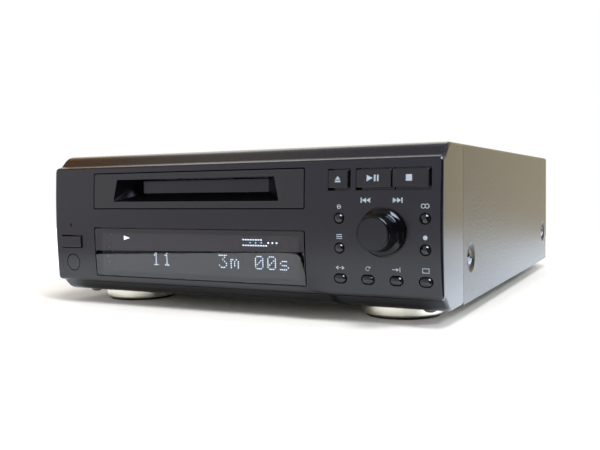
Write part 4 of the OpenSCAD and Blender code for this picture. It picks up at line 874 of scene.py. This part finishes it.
knob_end_r = 6.3
grip_foot = [(7.85 + 0.9 * (1 - math.cos(math.radians(a))), 2.9 + 0.9 * (1 - math.sin(math.radians(a))))
             for a in range(0, 91, 15)]
knob = turned("jog_knob", [(0, 11.85), (knob_end_r, 11.85)] + outer_round(6.6, 11.0, 0.75) + grip_foot
              + outer_round(9.1, 1.6, 0.8) + [(9.9, -0.5), (8.5, -0.5), (8.5, 1.0), (4.5, 1.0),
              (4.5, -0.5), (3.02, -0.5), (3.02, 9.9), (0, 9.9)], at=(knob_x, knob_z), sides=128)
soften(knob, 0.06, angle=35)
# Its end is satin, and its side is polished
knob_end = mottled("knob_end", 0.3, 0.0015, rgb(0.006, 0.006, 0.008), rgb(0.010, 0.010, 0.012),
                   soft=True, Roughness=0.3, Specular_IOR_Level=0.4)
knob_side = mottled("knob_side", 0.4, 0.001, rgb(0.002, 0.002, 0.003), rgb(0.004, 0.004, 0.005),
                    soft=True, Roughness=0.07, Specular_IOR_Level=0.25)
seat(knob, knob_side, "jog_knob", "knob_plastic", "jog_knob")
knob.data.materials.append(knob_end)
for face in knob.data.polygons:
    centre = (face.center - casing.translation) / mm
    from_axis = math.hypot(centre.x - knob_x, centre.z - knob_z)
    face.material_index = int(from_axis < knob_end_r and face.normal.y < -0.99)


# The feet are turned in aluminium with a champagne finish: a drum with a rounded lower rim, a
# shallow groove under it for the pad, and a sunk hole for its screw.
foot_metal = mottled("champagne_metal", 0.4, 0.003, rgb(0.76, 0.72, 0.60), rgb(0.84, 0.80, 0.69),
                     Metallic=1, Roughness=0.3)
rubber = mottled("rubber", 0.4, 0.01, rgb(0.012, 0.012, 0.012), rgb(0.02, 0.02, 0.02), "deck_dampers",
                 Roughness=0.7)
rim = [(18.0 + 0.8 * math.cos(math.radians(a)), -4.0 - 0.8 * math.sin(math.radians(a)))
       for a in range(0, 91, 15)]
foot_profile = [(1.8, 0), (18.3, 0), (18.65, -0.12), (18.8, -0.5)] + rim + [
    (17.2, -4.8), (17.2, -4.4), (12.4, -4.4), (12.4, -4.8), (4.9, -4.8), (4.9, -1.9), (1.8, -1.9), (1.8, 0)]
pad_profile = [(12.4, -4.42), (12.4, -5.7), (12.7, -6), (16.9, -6), (17.2, -5.7), (17.2, -4.42),
               (12.4, -4.42)]
pads = []
for name, x, y in (("foot_front_left", -76.0, 34.4), ("foot_front_right", 76.0, 34.4),
                   ("foot_rear_left", -76.0, 225.6), ("foot_rear_right", 76.0, 225.6)):
    foot = turned(name, foot_profile, "Z", (x, y), 128)
    soften(foot, 0.08, angle=60)
    seat(foot, foot_metal, "housing", "foot_metal", name)
    pads.append(turned("foot_pads", pad_profile, "Z", (x, y), 64))
    soften(pads[-1], 0.1, angle=60)
seat(join(*pads), rubber, "housing", "rubber", "foot_pads")


# Behind the face stand one long board with the switches, the encoder, the receiver and the
# display. It is green with traces under the lacquer, and a ribbon joins it to the main board.
def casing_place(start):
    """The place on a piece in the casing's own millimetres, one socket for each direction."""
    place = start.node("SeparateXYZ", sockets={0: start.node("TexCoord", output="Object")})
    return place * 1000, (place.other(1) - low[1]) * 1000, (place.other(2) - low[2]) * 1000


def lacquered(name, side):
    """Green lacquer over copper traces that run in straight steps. side picks a board's plane."""
    material, start, shader = finish_of(name, Roughness=0.3)
    spots = grain(start, shader, 0.8, 0.006)
    across, back, up = casing_place(start)
    plane = start.node("CombineXYZ", sockets={0: across, 1: up if side == "front" else back})
    bricks = {"offset": 0.5, "offset_frequency": 2, "squash": 0.4, "squash_frequency": 3}
    traces = start.node("TexBrick", bricks,
                        {"Vector": plane, "Scale": 1.0, "Mortar Size": 0.28, "Mortar Smooth": 0.1,
                         "Brick Width": 9.0, "Row Height": 2.2}, 1)
    copper = traces * spots.step(0.35, 0.5)
    points = start.node("TexVoronoi", {"distance": "CHEBYCHEV"}, {"Vector": plane, "Scale": 0.32})
    solder = 1 - points.step(0.16, 0.2)
    green = copper.blend(rgb(0.008, 0.075, 0.03), rgb(0.02, 0.15, 0.05))
    return material, shader, solder.blend(green, rgb(0.55, 0.55, 0.52)), (across, back, up)


front_lacquer, shader, colour, (across, back, up) = lacquered("front_board_lacquer", "front")
with_socket = back.step(13.8, 13.9).blend(colour, rgb(0.6, 0.58, 0.5))
receiver = 1 - back.step(11.8, 11.9)
feed(shader, Base_Color=receiver.blend(with_socket, rgb(0.45, 0.45, 0.44)), Metallic=receiver * 0.9)
dress(front_lacquer, "front_board")
mottled("switch_black", 0.3, 0.004, rgb(0.014, 0.014, 0.014), rgb(0.03, 0.03, 0.03), "tact_switches",
        Roughness=0.38)
mottled("encoder_metal", 1.2, 0.01, rgb(0.46, 0.46, 0.45), rgb(0.6, 0.6, 0.58), "rotary_encoder",
        Metallic=1, Roughness=0.38)
mottled("lamp_red", 0.5, 0.002, rgb(0.06, 0.004, 0.003), rgb(0.10, 0.008, 0.006), "standby_lamp",
        Roughness=0.12)

# The ribbon's wires show as ridges between the joined insulation. The grooves between them are painted
# darker than the crests, a painted shade.
ribbon, start, shader = finish_of("ribbon_grey", Roughness=0.45)
across, back, up = casing_place(start)
wire_half = 0.635
ridge_and_groove_shade = across.zigzag(wire_half) / wire_half
feed(shader, Base_Color=ridge_and_groove_shade.step(0.2, 0.6).blend(rgb(0.16, 0.16, 0.17), rgb(0.34, 0.34, 0.35)))
press(shader, ridge_and_groove_shade, 0.1)
dress(ribbon, "flat_cable")


# At the rear lies the main board with its chips, and the sockets stand on its edge. The chips
# are black epoxy, and the phono barrels are gold plated round black insulation.
main_lacquer, shader, colour, (across, back, up) = lacquered("main_board_lacquer", "top")
raised = up.step(10.85, 10.9)
connector = raised * (1 - back.step(134.2, 134.4)) * across.step(60, 60.2)
raised = raised.blend(colour, rgb(0.012, 0.012, 0.013))
feed(shader, Base_Color=connector.blend(raised, rgb(0.6, 0.58, 0.5)))
dress(main_lacquer, "main_board")
sockets, start, shader = finish_of("socket_plastic")
spots = grain(start, shader, 0.5, 0.005)
across, back, up = casing_place(start)
half_pitch = 7
from_axis = (across - 50).zigzag(half_pitch).hypot((up - 18).zigzag(half_pitch))
barrel = back.step(257.6, 257.7) * (1 - across.step(73.2, 73.3)) * from_axis.step(3.1, 3.2)
black = spots.blend(rgb(0.014, 0.014, 0.015), rgb(0.025, 0.025, 0.026))
feed(shader, Base_Color=barrel.blend(black, rgb(0.83, 0.62, 0.28)), Metallic=barrel,
     Roughness=0.36 - barrel * 0.14)
dress(sockets, "rear_sockets")
mottled("inlet_black", 0.5, 0.006, rgb(0.010, 0.010, 0.010), rgb(0.02, 0.02, 0.02), "mains_inlet",
        Roughness=0.34)


# The power supply has a board of brown phenolic paper, two large filter capacitors in blue
# sleeves, a fuse in its clips, and a finned cooler of bare aluminium.
phenolic, start, shader = finish_of("phenolic_board", Roughness=0.42)
grain(start, shader, 0.4, 0.01)
fibres = noise_of(start, 300.0, 4.0)
feed(shader, Base_Color=fibres.step(0.35, 0.65).blend(rgb(0.20, 0.11, 0.04), rgb(0.33, 0.20, 0.08)))
dress(phenolic, "power_board")
parts, start, shader = finish_of("power_parts_finish")
spots = grain(start, shader, 0.5, 0.004)
across, back, up = casing_place(start)
before_cans = 1 - back.step(138.3, 138.4)
cooler = before_cans * across.step(-65.5, -65.4)
clips = before_cans * (1 - across.step(-66.5, -66.4))
small_can = across.step(-54, -53.9)
lid = back.step(138.5, 138.6) * up.step(35.6, 35.65).larger(small_can * up.step(26.6, 26.65))
stripe = (1 - across.away_from(-81).step(1.4, 1.5)) * (1 - lid)
sleeve = stripe.blend(rgb(0.012, 0.025, 0.11), rgb(0.42, 0.44, 0.46))
bare = cooler.larger(lid).larger(clips)
feed(shader, Base_Color=bare.blend(sleeve, rgb(0.7, 0.7, 0.7)), Metallic=bare,
     Roughness=0.3 + spots * 0.12)
dress(parts, "power_parts")


# The transformer's core is a stack of thin iron sheets under a lacquer. Yellow tape is wound
# over its bobbin, and a plated saddle holds it down.
iron, start, shader = finish_of("transformer_iron")
spots = grain(start, shader, 0.7, 0.01)
across, back, up = casing_place(start)
half_sheet = 0.25
sheets = up.zigzag(half_sheet) / half_sheet
bobbin = back.away_from(192).step(19.05, 19.1)
saddle = across.away_from(-69).step(23.05, 23.1)
core = sheets.step(0.1, 0.4).blend(rgb(0.05, 0.045, 0.04), rgb(0.16, 0.15, 0.14))
feed(shader, Base_Color=saddle.blend(bobbin.blend(core, rgb(0.5, 0.36, 0.05)), rgb(0.62, 0.63, 0.62)),
     Metallic=saddle + (1 - bobbin) * (1 - saddle) * 0.6, Roughness=0.34 + spots * 0.1)
dress(iron, "power_transformer")
mottled("yellow_screw", 0.5, 0.005, rgb(0.58, 0.47, 0.22), rgb(0.70, 0.60, 0.32), "inner_screws",
        Metallic=1, Roughness=0.3)


# The loading deck is a pressed plate on rubber dampers. The holder over it is bright drawn steel
# that carries the cartridge down, and its finish has long fine streaks.
bright_steel, start, shader = finish_of("bright_steel", Metallic=1)
place = start.node("TexCoord", output="Object")
drawn_out = start.node("Mapping", sockets={"Vector": place, "Scale": (1.0, 0.05, 1.0)})
streaks = noise_of(start, 2500.0, place=drawn_out)
feed(shader, Base_Color=streaks.blend(rgb(0.60, 0.60, 0.60), rgb(0.74, 0.74, 0.73)),
     Roughness=0.2 + streaks * 0.16)
press(shader, streaks, 0.002)
dress(bright_steel, "cartridge_holder")
dress(plated, "deck_chassis")
mottled("ground_steel", 0.3, 0.001, rgb(0.62, 0.62, 0.62), rgb(0.70, 0.70, 0.70),
        "guide_rods", "encoder_shaft", "flap_spring", Metallic=1, Roughness=0.12)


# The slide and the gears are moulded in acetal: the slide in white, the gears in cream, and the
# pinions on the motors' shafts are turned in brass.
mottled("white_acetal", 2.0, 0.006, rgb(0.66, 0.65, 0.60), rgb(0.76, 0.75, 0.71), "loading_slide",
        Roughness=0.36)
mottled("cream_acetal", 1.5, 0.004, rgb(0.66, 0.61, 0.48), rgb(0.76, 0.71, 0.58),
        "loading_gear", "sled_gear", Roughness=0.34)
mottled("brass", 0.4, 0.002, rgb(0.70, 0.52, 0.22), rgb(0.82, 0.63, 0.30),
        "loading_pinion", "sled_pinion", Metallic=1, Roughness=0.2)


# The motors have drawn nickel cans with faint rings from the drawing. The turntable is turned in
# bright steel, and its cone centres the disc.
can, start, shader = finish_of("motor_can", Metallic=1)
across, back, up = casing_place(start)
rings = noise_of(start, 3.0, 3.0, start.node("CombineXYZ", sockets={2: up}))
grain(start, shader, 0.6, 0.003)
feed(shader, Base_Color=rings.step(0.35, 0.65).blend(rgb(0.56, 0.56, 0.54), rgb(0.70, 0.70, 0.67)),
     Roughness=0.2 + rings * 0.18)
dress(can, "loading_motor", "sled_motor", "spindle_motor", "turntable")


# The pickup's sled is black die-cast metal with a coated lens. The arm that reaches over the
# cartridge is spring steel, and the recording head on its end is black.
sled, start, shader = finish_of("pickup_body")
spots = grain(start, shader, 0.4, 0.02)
across, back, up = casing_place(start)
from_lens = (across + 2.5).hypot(back - 55)
lens = (1 - from_lens.step(2.15, 2.25)) * up.step(43.5, 43.6)
arm = across.step(6.1, 6.2)
body = arm.blend(spots.blend(rgb(0.012, 0.012, 0.014), rgb(0.03, 0.03, 0.032)), rgb(0.62, 0.62, 0.61))
feed(shader, Base_Color=lens.blend(body, rgb(0.03, 0.06, 0.22)), Metallic=arm,
     Roughness=0.36 - lens * 0.32)
dress(sled, "optical_pickup")
head, start, shader = finish_of("head_arm")
spots = grain(start, shader, 0.3, 0.003)
across, back, up = casing_place(start)
ferrite = (1 - across.step(-0.4, -0.3)) * (1 - up.step(60.9, 61))
spring = spots.blend(rgb(0.6, 0.6, 0.6), rgb(0.7, 0.7, 0.7))
feed(shader, Base_Color=ferrite.blend(spring, rgb(0.015, 0.015, 0.016)), Metallic=1 - ferrite,
     Roughness=0.22 + ferrite * 0.2)
dress(head, "magnetic_head")
